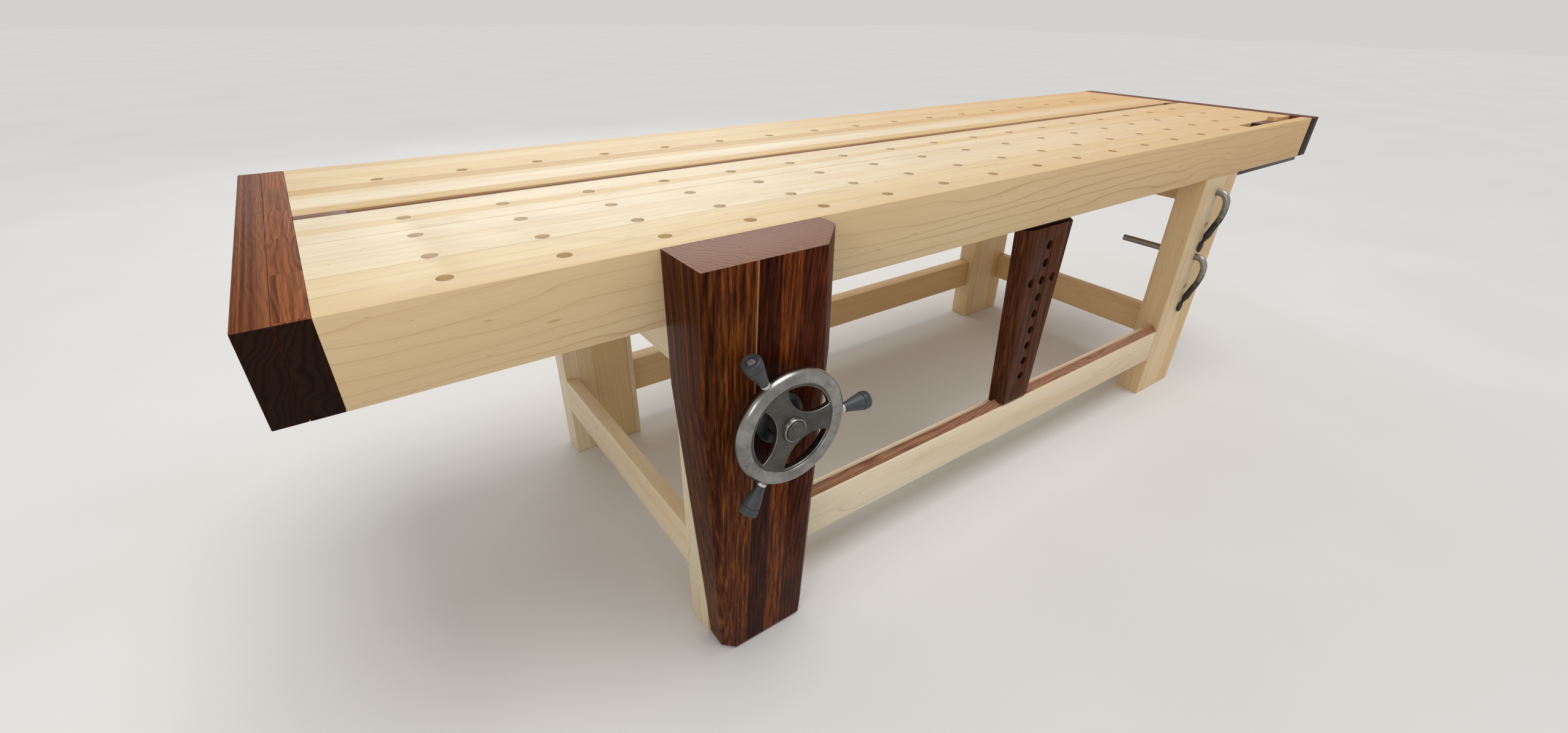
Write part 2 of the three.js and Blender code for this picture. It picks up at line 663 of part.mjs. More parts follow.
// Handwheel: a round rim, a web with three windows and a hub.
const radians = THREE.MathUtils.degToRad;
function spokeWindow(middle) {
  const inner = HUB_R + WINDOW_INSIDE;
  const outer = RIM_R - RIM_TUBE - WINDOW_LIP;
  const spread = radians(WINDOW_SPREAD);
  const tip = radians(WINDOW_TIP);
  const tipR = outer - WINDOW_CORNER;
  const at = (r, a) => [r * Math.cos(middle + a), r * Math.sin(middle + a)];
  const shape = new THREE.Shape();
  shape.absarc(0, 0, outer, middle - spread, middle + spread, false);
  shape.quadraticCurveTo(...at(outer, tip), ...at(tipR, tip));
  shape.quadraticCurveTo(...at(2 * inner - tipR * Math.cos(tip), 0), ...at(tipR, -tip));
  shape.quadraticCurveTo(...at(outer, -tip), ...at(outer, -spread));
  return shape;
}
function facing(geometry, y) {
  geometry.rotateX(Math.PI / 2);
  geometry.translate(VISE_X, y, VISE_Z);
  return solid(geometry);
}
const handleTurns = HANDLE_ANGLES.map((angle) => radians(angle));
const halfSpokeTurn = Math.PI / HANDLE_ANGLES.length;
const webShape = new THREE.Shape();
webShape.absarc(0, 0, RIM_R, 0, 2 * Math.PI, false);
const webBack = wheelY - WEB_FRONT + WEB_T;
const webGeometry = new THREE.ExtrudeGeometry(webShape, {
  depth: WEB_T, bevelEnabled: false, curveSegments: SIDES_MIDDLE / 2,
});
const windowTools = handleTurns.map((turn) => {
  const depth = WEB_T + 2 * OVERCUT;
  const shape = spokeWindow(turn + halfSpokeTurn);
  const geometry = new THREE.ExtrudeGeometry(shape, {
    depth, bevelEnabled: false, curveSegments: SIDES_WINDOW,
  });
  return facing(geometry, webBack + OVERCUT);
});
const radial = (turn) => new THREE.Vector3(Math.cos(turn), 0, Math.sin(turn));
const rimSpot = (turn, r) => viseAt(wheelY).addScaledVector(radial(turn), r);
const spindleFoot = RIM_OUT - SPINDLE_SET;
const collarSeat = RIM_OUT - COLLAR_SINK;
const handleFoot = RIM_OUT + HANDLE_COLLAR;
const spindleHoles = handleTurns.map((turn) => (
  plug(SPINDLE_R + GAP, SPINDLE_SET + OVERCUT, rimSpot(turn, spindleFoot - GAP), radial(turn), SIDES_SMALL)
));
const collarSeats = handleTurns.map((turn) => (
  plug(COLLAR_R + 2 * GAP, RIM_TUBE, rimSpot(turn, collarSeat), radial(turn), SIDES_SMALL)
));
const wheelBody = join([
  facing(new THREE.TorusGeometry(RIM_R, RIM_TUBE, SIDES_SMALL, SIDES_RIM), wheelY),
  cut(facing(webGeometry, webBack), windowTools),
  turned([[0, 0], [HUB_FOOT_R, 0], [HUB_R, hubLen], [0, hubLen]], viseAt(hubBack), toFront, SIDES_LARGE),
]);
const noseBore = hubLen - NOSE_BORE_END + OVERCUT;
const capSeat = hubFront + HUB_CAP_SINK;
place('handwheel', cut(wheelBody, [
  plug(SCREW_NOSE_R + GAP, noseBore, viseAt(hubBack + OVERCUT), toFront, SIDES_MIDDLE),
  plug(HUB_CAP_R + GAP, HUB_CAP_SINK + OVERCUT, viseAt(capSeat), toFront, SIDES_LARGE),
  ...spindleHoles,
  ...collarSeats,
]), CASTING);
const capEdge = HUB_CAP_R - HUB_CAP_EDGE;
place('hub_cap', turned([
  [0, 0], [HUB_CAP_R, 0], [HUB_CAP_R, HUB_CAP_SINK], [capEdge, HUB_CAP_T - GAP * 2], [0, HUB_CAP_T],
], viseAt(capSeat - GAP), toFront, SIDES_LARGE), CASTING);

// Handles: each revolves on a spindle that is screwed into the rim.
handleTurns.forEach((turn, i) => {
  const end = handleFoot + HANDLE_LEN - spindleFoot;
  const collar = collarSeat + GAP - spindleFoot;
  const collarEnd = handleFoot - GAP - spindleFoot;
  const head = end - SPINDLE_HEAD_SINK - SPINDLE_HEAD_T;
  const headEnd = end - SPINDLE_HEAD_SINK;
  place(`spindle_${HANDLE_NAMES[i]}`, turned([
    [0, 0], [SPINDLE_R, 0], [SPINDLE_R, collar], [COLLAR_R, collar], [COLLAR_R, collarEnd],
    [SPINDLE_R, collarEnd], [SPINDLE_R, head], [SPINDLE_HEAD_R, head], [SPINDLE_HEAD_R, headEnd],
    [0, headEnd],
  ], rimSpot(turn, spindleFoot), radial(turn), SIDES_SMALL), STEEL);
  const bore = SPINDLE_R + RUN;
  const headBore = SPINDLE_HEAD_R + SPINDLE_HEAD_PLAY;
  const headSeat = HANDLE_LEN - SPINDLE_HEAD_SINK - SPINDLE_HEAD_T - SPINDLE_HEAD_PLAY;
  const bandEnd = HANDLE_LEN - HANDLE_TIP;
  const bandStart = bandEnd - HANDLE_BAND;
  const grip = HANDLE_R - HANDLE_STEP;
  place(`handle_${HANDLE_NAMES[i]}`, turned([
    [bore, 0], [HANDLE_NECK, 0], [HANDLE_NECK + HANDLE_STEP, HANDLE_NECK_LEN],
    [HANDLE_SWELL_R, HANDLE_LEN - HANDLE_SWELL], [grip, bandStart - HANDLE_NECK_LEN],
    [grip, bandStart - HANDLE_STEP], [HANDLE_R, bandStart], [HANDLE_R, bandEnd],
    [grip, HANDLE_LEN - HANDLE_NOSE], [HANDLE_R - HANDLE_NOSE, HANDLE_LEN], [headBore, HANDLE_LEN],
    [headBore, headSeat], [bore, headSeat], [bore, 0],
  ], rimSpot(turn, handleFoot), radial(turn), SIDES_HANDLE), PLASTIC);
});

// Wagon vise: a dog block in the slot, carried by two guides under the slab.
const flangeTop = UNDER - RUN;
const blockStem = box(
  BLOCK_X0, BLOCK_X1,
  slotY - SLOT_W / 2 + RUN, slotY + SLOT_W / 2 - RUN,
  flangeTop - BLOCK_FLANGE_T / 2, HEIGHT,
);
const blockFlange = box(
  BLOCK_X0, BLOCK_X1,
  slotY - BLOCK_FLANGE_W / 2, slotY + BLOCK_FLANGE_W / 2,
  flangeTop - BLOCK_FLANGE_T, flangeTop,
);
const dogSeat = HEIGHT - BLOCK_DOG_DEPTH;
function wagonDog(foot, top, grow) {
  const halfLen = WAGON_DOG_LEN / 2 + grow;
  const halfW = WAGON_DOG_W / 2 + grow;
  return box(BLOCK_DOG_X - halfLen, BLOCK_DOG_X + halfLen, slotY - halfW, slotY + halfW, foot, top);
}
place('dog_block', cut(blockStem.add(blockFlange), [
  wagonDog(dogSeat, HEIGHT + OVERCUT, RUN),
  rod(TAIL_R + RUN, [BLOCK_X0 - OVERCUT, slotY, TAIL_Z], [BLOCK_X1 + OVERCUT, slotY, TAIL_Z], SIDES_MIDDLE),
]), WALNUT);
place('bench_dog', wagonDog(dogSeat + GAP, HEIGHT + DOG_PROUD, 0), MAPLE);
const lipZ = flangeTop - BLOCK_FLANGE_T - RUN;
function guide(side) {
  const inner = slotY + side * (BLOCK_FLANGE_W / 2 + RUN);
  const outer = inner + side * GUIDE_T;
  const lip = inner - side * GUIDE_LIP;
  const outline = [
    [inner, UNDER - GAP], [outer, UNDER - GAP], [outer, lipZ - GUIDE_T],
    [lip, lipZ - GUIDE_T], [lip, lipZ], [inner, lipZ],
  ];
  return alongX(side < 0 ? outline.reverse() : outline, LEG_XR + LEG_W + GUIDE_START, SLAB_X1);
}
place('tail_guide_front', guide(-1), DARK_IRON);
place('tail_guide_rear', guide(1), DARK_IRON);

// Tail screw with its flange on the end cap and a small wheel outside it.
const toRight = new THREE.Vector3(1, 0, 0);
const tailAt = (x) => new THREE.Vector3(x, slotY, TAIL_Z);
const tailHub = LENGTH + GAP + TAIL_FLANGE_T + GAP;
const tailTip = SLOT_X0 + TAIL_TIP;
const tailLen = tailHub - tailTip;
place('tail_flange', turned([
  [TAIL_R + RUN, 0], [TAIL_FLANGE_R, 0], [TAIL_FLANGE_R, TAIL_FLANGE_RIM_T],
  [TAIL_FLANGE_BOSS_R, TAIL_FLANGE_T], [TAIL_R + RUN, TAIL_FLANGE_T], [TAIL_R + RUN, 0],
], tailAt(LENGTH + GAP), toRight, SIDES_MIDDLE), DARK_IRON);
place('tail_screw', turned([
  [0, 0], [TAIL_TIP_R, 0], [TAIL_R, TAIL_CHAMFER], [TAIL_R, tailLen], [TAIL_NOSE_R, tailLen + GAP],
  [TAIL_NOSE_R, tailLen + TAIL_NOSE], [0, tailLen + TAIL_NOSE],
], tailAt(tailTip), toRight, SIDES_MIDDLE), STEEL);
const tailPlane = tailHub + TAIL_HUB_LEN / 2;
const tailRim = new THREE.TorusGeometry(TAIL_WHEEL_R, TAIL_TUBE, 8, SIDES_MIDDLE);
tailRim.rotateY(Math.PI / 2);
tailRim.translate(tailPlane, slotY, TAIL_Z);
const tailSpokes = Array.from({ length: TAIL_SPOKES }, (_, i) => {
  const turn = Math.PI / 2 + i * 2 * Math.PI / TAIL_SPOKES;
  const way = new THREE.Vector3(0, Math.cos(turn), Math.sin(turn));
  return plug(TAIL_SPOKE_R, TAIL_WHEEL_R, tailAt(tailPlane), way, 8);
});
const tailHubBody = turned(
  [[0, 0], [TAIL_HUB_R, 0], [TAIL_HUB_END_R, TAIL_HUB_LEN], [0, TAIL_HUB_LEN]],
  tailAt(tailHub + GAP), toRight, SIDES_MIDDLE,
);
place('tail_wheel', cut(join([solid(tailRim), ...tailSpokes, tailHubBody]), [
  plug(TAIL_NOSE_R + GAP, TAIL_BORE + OVERCUT, tailAt(tailHub - OVERCUT), toRight, SIDES_SMALL),
]), CASTING);

// Holdfasts: a shank through the leg, a crook out and down to a flat pad on the leg.
function holdfast(z) {
  const crook = [
    [-0.18, 0], [-0.6, -0.006], [-0.94, -0.065], [-1, -0.21], [-0.9, -0.51], [-0.6, -0.76], [-0.28, -0.913],
  ];
  const points = crook.map(([out, down]) => new THREE.Vector3(HOLD_X, HOLD_OUT * out, z + HOLD_REACH * down));
  const section = new THREE.Shape();
  section.absarc(0, 0, HOLD_ARM_R, 0, 2 * Math.PI, false);
  const arm = new THREE.ExtrudeGeometry(section, {
    steps: 14, extrudePath: new THREE.CatmullRomCurve3(points), curveSegments: 5, bevelEnabled: false,
  });
  const padZ = z - HOLD_REACH + PAD_RISE;
  const pad = new THREE.SphereGeometry(1, SIDES_SMALL, 8);
  pad.scale(PAD_HALF_W, PAD_T, PAD_HALF_LEN);
  pad.translate(HOLD_X, -PAD_T, padZ);
  const behindFace = box(
    HOLD_X - 2 * PAD_HALF_W, HOLD_X + 2 * PAD_HALF_W,
    -GAP, 2 * PAD_T,
    padZ - 2 * PAD_HALF_LEN, padZ + 2 * PAD_HALF_LEN,
  );
  return join([
    rod(HOLD_R, [HOLD_X, -HOLD_SHANK_OUT, z], [HOLD_X, HOLD_BEHIND, z], SIDES_MIDDLE),
    solid(arm),
    cut(solid(pad), [behindFace]),
  ]);
}
place('holdfast_upper', holdfast(holdHoles[0]), STEEL);
place('holdfast_lower', holdfast(holdHoles[2]), STEEL);

// The origin lies at the bottom centre of the whole bench.
const reach = new THREE.Box3().setFromObject(bench);
const middle = reach.getCenter(new THREE.Vector3());
for (const mesh of bench.children) {
  mesh.geometry.translate(-middle.x, -middle.y, -reach.min.z);
}

export default bench;
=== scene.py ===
import json
import math
import bpy
from mathutils import Matrix, Vector


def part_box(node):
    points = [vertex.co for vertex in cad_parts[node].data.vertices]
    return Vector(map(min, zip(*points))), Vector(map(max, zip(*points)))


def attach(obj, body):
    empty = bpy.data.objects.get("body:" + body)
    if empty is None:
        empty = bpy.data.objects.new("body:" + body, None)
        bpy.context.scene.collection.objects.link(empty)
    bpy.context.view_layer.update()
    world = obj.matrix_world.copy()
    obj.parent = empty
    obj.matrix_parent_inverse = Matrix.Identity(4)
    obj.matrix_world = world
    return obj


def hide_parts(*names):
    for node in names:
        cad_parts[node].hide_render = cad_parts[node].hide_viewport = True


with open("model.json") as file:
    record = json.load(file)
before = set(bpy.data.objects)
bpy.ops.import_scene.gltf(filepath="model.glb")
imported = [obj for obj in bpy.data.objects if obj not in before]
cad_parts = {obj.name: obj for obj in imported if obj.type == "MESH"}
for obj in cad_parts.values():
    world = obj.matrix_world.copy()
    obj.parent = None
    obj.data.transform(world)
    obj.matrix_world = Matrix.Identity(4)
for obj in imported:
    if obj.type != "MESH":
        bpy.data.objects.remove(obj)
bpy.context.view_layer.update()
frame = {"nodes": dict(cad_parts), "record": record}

# Camera: a wide lens close to the left end of the bench, a little above the top and
# looking down along it. Place and turn follow from the bench's own edges in the photograph.
camera_place = Vector((-1.23305, -1.04089, 1.0432))
looking = Vector((0.51434, 0.70262, -0.49171))
image_right = Vector((0.81186, -0.58365, 0.01522))
image_up = Vector((0.27630, 0.40703, 0.87062))
eye = bpy.data.cameras.new("camera")
eye.sensor_width = 36
eye.lens = 14.784
eye.clip_start = 0.01
viewer = bpy.data.objects.new("camera", eye)
turn = Matrix((image_right, image_up, -looking)).transposed()
viewer.matrix_world = Matrix.Translation(camera_place) @ turn.to_4x4()
bpy.context.scene.collection.objects.link(viewer)
bpy.context.scene.camera = viewer
bpy.context.scene.view_settings.view_transform = "Standard"


# Floor: a smooth pale studio floor that reaches past the camera's view on all sides.
# It is a matt painted surface, a little mottled, and keeps the bench's shadow.
def linear(hex_colour):
    parts = [int(hex_colour[i:i + 2], 16) / 255 for i in (1, 3, 5)]
    return [c / 12.92 if c <= 0.04045 else ((c + 0.055) / 1.055) ** 2.4 for c in parts] + [1.0]


def add(tree, kind, inputs=None, out=0, stops=None, **settings):
    """Adds a shader node with its settings, stops and links, and gives one of its outputs."""
    node = tree.nodes.new("ShaderNode" + kind)
    for key, value in settings.items():
        setattr(node, key, value)
    if stops:
        marks = node.color_ramp.elements
        while len(marks) < len(stops):
            marks.new(1.0)
        for mark, (spot, shade) in zip(marks, stops):
            mark.position = spot
            mark.color = linear(shade) if isinstance(shade, str) else (shade, shade, shade, 1)
    for key, value in (inputs or {}).items():
        if isinstance(value, bpy.types.NodeSocket):
            tree.links.new(value, node.inputs[key])
        else:
            node.inputs[key].default_value = linear(value) if isinstance(value, str) else value
    return node.outputs[out]


def surface(name):
    material = bpy.data.materials.new(name)
    material.use_nodes = True
    tree = material.node_tree
    return material, tree, tree.nodes["Principled BSDF"].inputs, add(tree, "TexCoord", out="Object")


def deselect():
    if bpy.context.object and bpy.context.object.mode != "OBJECT":
        bpy.ops.object.mode_set(mode="OBJECT")
    bpy.ops.object.select_all(action="DESELECT")


def pick(piece):
    deselect()
    piece.select_set(True)
    bpy.context.view_layer.objects.active = piece


# Painted floor: the eye sees an even pale grey with a faint cloudiness.
mottle_per_metre = 1.4  # clouds of 700 mm
floor_paint, tree, shader, place = surface("painted_floor")
mottle = add(tree, "TexNoise", {"Vector": place, "Scale": mottle_per_metre, "Detail": 3.0})
paint = add(tree, "ValToRGB", {0: mottle}, stops=[(0.3, "#d9d7d3"), (0.7, "#dddbd8")])
tree.links.new(paint, shader["Base Color"])
shader["Roughness"].default_value = 0.8
floor_size = 60
deselect()
bpy.ops.mesh.primitive_plane_add(size=floor_size, location=(0, 0, 0))
floor = bpy.context.object
floor.name = "floor"
floor.data.materials.append(floor_paint)

# Light: an even pale room, one broad high lamp for the soft shadows and two panels whose
# reflections show on the oiled wood and the cast metal. The backdrop is as pale as the floor.
room_light = (0.44, 0.44, 0.45, 1)
backdrop = "#d4d2cf"
panels_face = Vector((0, 0, 0.6))
room = bpy.data.worlds.new("room")
bpy.context.scene.world = room
room.use_nodes = True
tree = room.node_tree
ray = tree.nodes.new("ShaderNodeLightPath").outputs
seen = add(tree, "Math", {0: ray["Is Camera Ray"], 1: ray["Is Glossy Ray"]}, operation="MAXIMUM")
seen = add(tree, "Math", {0: seen, 1: ray["Is Transmission Ray"]}, operation="MAXIMUM")
walls = add(tree, "Mix", {0: seen, 6: room_light, 7: backdrop}, out=2, data_type="RGBA")
tree.links.new(walls, tree.nodes["Background"].inputs["Color"])
high_lamp = bpy.data.lights.new("high_lamp", "SUN")
high_lamp.energy = 1.6
high_lamp.angle = math.radians(40)
lamp_holder = bpy.data.objects.new("high_lamp", high_lamp)
lamp_holder.rotation_euler = (math.radians(10), math.radians(10), 0)
bpy.context.scene.collection.objects.link(lamp_holder)
for name, spot, size, power in (
    ("panel_left", (-3.4, -1.8, 2.4), 1.1, 16), ("panel_back", (0.6, 3.6, 3.0), 3.2, 40),
):
    panel = bpy.data.lights.new(name, "AREA")
    panel.energy = power
    panel.size = size
    holder = bpy.data.objects.new(name, panel)
    holder.location = spot
    holder.rotation_euler = (panels_face - Vector(spot)).to_track_quat("-Z", "Y").to_euler()
    bpy.context.scene.collection.objects.link(holder)

# Legs, rails and stretchers: hard maple, planed and oiled, glued up from two or three
# boards each, tenoned and drawn tight. Every long edge is eased with a block plane.
body_of_node = {}
for body_name, names in frame["record"]["behaviour"]["bodies"].items():
    for node_name in names:
        body_of_node[node_name] = body_name


def finish_piece(piece, material, node=None, body=None):
    piece.data.materials.clear()
    piece.data.materials.append(material)
    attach(piece, body or body_of_node[node])
    if node:
        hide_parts(node)


def soften(piece, width, segments=2, angle=32):
    pick(piece)
    edge = piece.modifiers.new("eased", "BEVEL")
    edge.width = width
    edge.segments = segments
    edge.limit_method = "ANGLE"
    edge.angle_limit = math.radians(angle)
    bpy.ops.object.modifier_apply(modifier=edge.name)
    bpy.ops.object.shade_smooth_by_angle(angle=math.radians(34))


def copied(name, mesh):
    piece = bpy.data.objects.new(name, mesh.copy())
    bpy.context.scene.collection.objects.link(piece)
    return piece


def eased(node, width, material):
    """Takes a node's own solid, merges its flat faces again and rounds its edges."""
    piece = copied(node + "_piece", frame["nodes"][node].data)
    pick(piece)
    bpy.ops.object.mode_set(mode="EDIT")
    bpy.ops.mesh.select_all(action="SELECT")
    bpy.ops.mesh.remove_doubles(threshold=0.00001)
    bpy.ops.mesh.dissolve_limited(angle_limit=math.radians(0.5))
    bpy.ops.object.mode_set(mode="OBJECT")
    soften(piece, width)
    finish_piece(piece, material, node)


def stretched(tree, place, grain, width_mm, length_mm, shift):
    """Coordinates in which a pattern is so wide across the grain and so long along it."""
    scale = [1000 / width_mm] * 3
    scale["XYZ".index(grain)] = 1000 / length_mm
    mapped = add(tree, "Mapping", {"Vector": place, "Scale": scale})
    return add(tree, "VectorMath", {0: mapped, 1: shift}, operation="ADD")


def growth_rings(tree, place, grain, board, ring_mm, wander_mm):
    """Rings about each board's own pith, bent along the grain: saw-tooth, lot and shift."""
    lot_shift = (31, 47, 23)
    pith_reach = (0.3, 0.3, 0.3)
    lot = tree.nodes.new("ShaderNodeTexWhiteNoise")
    lot.noise_dimensions = "1D"
    tree.links.new(board, lot.inputs["W"])
    draw = lot.outputs["Color"]
    shift = add(tree, "VectorMath", {0: draw, 1: lot_shift}, operation="MULTIPLY")
    pith = add(tree, "VectorMath", {0: draw, 1: pith_reach}, operation="MULTIPLY")
    spread = [1.0, 1.0, 1.0]
    spread["XYZ".index(grain)] = 0.0
    beside = add(tree, "VectorMath", {0: place, 1: pith}, operation="SUBTRACT")
    beside = add(tree, "VectorMath", {0: beside, 1: spread}, operation="MULTIPLY")
    radius = add(tree, "VectorMath", {0: beside}, out="Value", operation="LENGTH")
    bend_at = stretched(tree, place, grain, 75, 520, shift)
    bend = add(tree, "TexNoise", {
        "Vector": bend_at, "Scale": 1.0, "Detail": 2.0, "Distortion": 0.3,
    })
    bend = add(tree, "Math", {0: bend, 1: wander_mm / 1000}, operation="MULTIPLY")
    radius = add(tree, "Math", {0: radius, 1: bend}, operation="ADD")
    rings = add(tree, "Math", {0: radius, 1: 1000 / ring_mm}, operation="MULTIPLY")
    return add(tree, "Math", {0: rings}, operation="FRACT"), lot.outputs["Value"], shift


# Maple: cream boards, each a little different, with thin brown growth lines, a fine silky fibre
# and a few small flecks. Oil gives it a low sheen. All of it grows warmer towards the right end:
# painted warm light.
def maple(name, grain, boards, board_mm, ring_mm, line, seed=0.0, warmth=0.5,
          tones=("#efe1c4", "#e5cea3", "#d1ae79")):
    sway_rate, sway_share = 2.3, 0.28
    bend_mm = 62
    honey_from, honey_to = -0.3, 1.3
    material, tree, shader, place = surface(name)
    across = add(tree, "SeparateXYZ", {0: place}, out=boards)
    across = add(tree, "Math", {0: across, 1: 1000 / board_mm}, operation="MULTIPLY")
    sway = add(tree, "Math", {0: across, 1: sway_rate}, operation="MULTIPLY")
    sway = add(tree, "Math", {0: sway}, operation="SINE")
    sway = add(tree, "Math", {0: sway, 1: sway_share}, operation="MULTIPLY")
    across = add(tree, "Math", {0: across, 1: sway}, operation="ADD")
    across = add(tree, "Math", {0: across, 1: seed}, operation="ADD")
    board = add(tree, "Math", {0: across}, operation="FLOOR")
    rings, lot, shift = growth_rings(tree, place, grain, board, ring_mm, bend_mm)
    pale, middle, deep = tones
    wood = add(tree, "ValToRGB", {0: lot}, stops=[(0.1, pale), (0.55, middle), (0.95, deep)])
    cloud_at = stretched(tree, place, grain, 60, 800, shift)
    cloud = add(tree, "TexNoise", {"Vector": cloud_at, "Scale": 1.0, "Detail": 2.0})
    haze = add(tree, "ValToRGB", {0: cloud}, stops=[(0.46, 0.0), (0.70, 0.4)])
    wood = add(tree, "Mix", {0: haze, 6: wood, 7: "#d8b682"}, out=2, data_type="RGBA")
    # Painted warm light: one honey tint that grows towards the bench's right end, alike on every
    # maple piece.
    honey = add(tree, "SeparateXYZ", {0: place}, out=0)
    honey = add(tree, "MapRange", {0: honey, 1: honey_from, 2: honey_to, 3: 0.0, 4: warmth})
    wood = add(tree, "Mix", {0: honey, 6: wood, 7: "#d8a65c"}, out=2, data_type="RGBA")
    lines = add(tree, "ValToRGB", {0: rings}, stops=[
        (0.0, 0.06), (0.6, 0.0), (0.89, 0.22), (0.95, 1.0), (0.985, 0.3),
    ])
    faint = add(tree, "ValToRGB", {0: cloud}, stops=[(0.32, 1.0), (0.66, 0.25)])
    lines = add(tree, "Math", {0: lines, 1: faint}, operation="MULTIPLY")
    lines = add(tree, "Math", {0: lines, 1: line}, operation="MULTIPLY")
    upper = add(tree, "SeparateXYZ", {0: add(tree, "TexCoord", out="Normal")}, out=2)
    upper = add(tree, "ValToRGB", {0: upper}, stops=[(0.6, 1.0), (0.9, 0.3)])
    lines = add(tree, "Math", {0: lines, 1: upper}, operation="MULTIPLY")
    wood = add(tree, "Mix", {0: lines, 6: wood, 7: "#a06a34"}, out=2, data_type="RGBA")
    # The fibre is drawn 1.8 mm wide, coarser than the real one, so that it shows.
    fibre_at = stretched(tree, place, grain, 1.8, 80, shift)
    fibre = add(tree, "TexNoise", {
        "Vector": fibre_at, "Scale": 1.0, "Detail": 3.0, "Roughness": 0.6,
    })
    silk = add(tree, "ValToRGB", {0: fibre}, stops=[(0.42, 0.0), (0.78, 0.26)])
    wood = add(tree, "Mix", {0: silk, 6: wood, 7: "#caa470"}, out=2, data_type="RGBA")
    fleck_at = stretched(tree, place, grain, 5, 22, shift)
    fleck = add(tree, "TexNoise", {"Vector": fleck_at, "Scale": 1.0, "Detail": 1.0})
    fleck = add(tree, "ValToRGB", {0: fleck}, stops=[(0.73, 0.0), (0.79, 0.55)])
    wood = add(tree, "Mix", {0: fleck, 6: wood, 7: "#b07f47"}, out=2, data_type="RGBA")
    seam = add(tree, "Math", {0: across}, operation="FRACT")
    seam = add(tree, "Math", {0: seam, 1: 0.5}, operation="SUBTRACT")
    seam = add(tree, "Math", {0: seam}, operation="ABSOLUTE")
    seam = add(tree, "ValToRGB", {0: seam}, stops=[(0.478, 0.0), (0.496, 0.55)])
    wood = add(tree, "Mix", {0: seam, 6: wood, 7: "#a2794a"}, out=2, data_type="RGBA")
    tree.links.new(wood, shader["Base Color"])
    sheen = add(tree, "ValToRGB", {0: fibre}, stops=[(0.3, 0.42), (0.8, 0.58)])
    tree.links.new(sheen, shader["Roughness"])
    relief = add(tree, "Bump", {"Height": fibre, "Strength": 0.1, "Distance": 0.0006})
    tree.links.new(relief, shader["Normal"])
    shader["IOR"].default_value = 1.5
    return material


leg_tones = ("#ebdab8", "#e5cea3", "#dcc08e")
maple_leg = maple("planed_maple_leg", "Z", 0, 59.4, 13, 0.34, tones=leg_tones)
maple_rail = maple("planed_maple_rail", "Y", 0, 90, 16, 0.3)
maple_stretcher = maple("planed_maple_stretcher", "X", 1, 120, 16, 0.3)
for side in ("left", "right"):
    eased("leg_front_" + side, 0.0022, maple_leg)
    eased("leg_rear_" + side, 0.0022, maple_leg)
    eased("rail_lower_" + side, 0.0018, maple_rail)
    eased("rail_upper_" + side, 0.0018, maple_rail)
eased("stretcher_front", 0.0018, maple_stretcher)
eased("stretcher_rear", 0.0018, maple_stretcher)


# Slabs: two thick maple panels, glued from strips on edge and planed flat, with rows of dog
# holes bored through, but blind over the front legs. The rims of the holes are lightly chamfered.
def as_one(parts):
    deselect()
    for part in parts:
        part.select_set(True)
    bpy.context.view_layer.objects.active = parts[0]
    bpy.ops.object.join()
    return parts[0]


def carve(piece, tool, operation="DIFFERENCE"):
    pick(piece)
    step = piece.modifiers.new("carve", "BOOLEAN")
    step.object = tool
    step.operation = operation
    step.solver = "EXACT"
    bpy.ops.object.modifier_apply(modifier=step.name)
    bpy.data.objects.remove(tool)


def block(name, low, high):
    deselect()
    middle = [(a + b) / 2 for a, b in zip(low, high)]
    bpy.ops.mesh.primitive_cube_add(size=1, location=middle)
    piece = bpy.context.object
    piece.name = name
    piece.scale = [b - a for a, b in zip(low, high)]
    bpy.ops.object.transform_apply(location=True, rotation=True, scale=True)
    return piece


def bar(name, radius, start, end, sides=40):
    deselect()
    start, end = Vector(start), Vector(end)
    run = end - start
    bpy.ops.mesh.primitive_cylinder_add(
        vertices=sides, radius=radius, depth=run.length, location=(start + end) / 2,
    )
    piece = bpy.context.object
    piece.name = name
    piece.rotation_euler = run.to_track_quat("Z", "Y").to_euler()
    bpy.ops.object.transform_apply(location=True, rotation=True, scale=True)
    return piece


dog_radius = 0.00975
dog_step = 0.1377
dog_first = 0.1293
dog_columns = 17
dog_rows = (0.043, 0.1305, 0.227, 0.322)
rear_row = 0.183
blind_depth = 0.060
slot_width = 0.030
slot_length = 0.360
groove_front, groove_back, groove_depth = 0.0095, 0.0255, 0.020
clear = 0.01  # how far a cutting tool runs past the piece
maple_top = maple("planed_maple_top", "X", 1, 41.5, 15, 0.8, 0.3, 0.8)
front_low, front_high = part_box("slab_front")
leg_spans = [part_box("leg_front_left"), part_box("leg_front_right")]
slab = block("slab_front_piece", front_low, front_high)
slot_line = front_low[1] + dog_rows[0]
slot_low = (front_high[0] - slot_length, slot_line - slot_width / 2, front_low[2] - clear)
slot_high = (front_high[0] + clear, slot_line + slot_width / 2, front_high[2] + clear)
carve(slab, block("slot_tool", slot_low, slot_high))
groove_low = (leg_spans[0][1][0] + clear, front_low[1] + groove_front, front_low[2] - clear)
groove_high = (leg_spans[1][0][0] - clear, front_low[1] + groove_back, front_low[2] + groove_depth)
carve(slab, block("groove_tool", groove_low, groove_high))
drills = []
for row, offset in enumerate(dog_rows):
    for column in range(dog_columns):
        x = front_low[0] + dog_first + column * dog_step
        y = front_low[1] + offset
        if row == 0 and x > slot_low[0] - 3 * dog_radius:
            continue
        margin = 2 * dog_radius
        over_leg = any(low[0] - margin < x < high[0] + margin for low, high in leg_spans)
        foot = front_high[2] - blind_depth if row == 0 and over_leg else front_low[2] - clear
        drills.append(bar("drill", dog_radius, (x, y, foot), (x, y, front_high[2] + clear)))
carve(slab, as_one(drills))
soften(slab, 0.0012)
finish_piece(slab, maple_top, "slab_front")

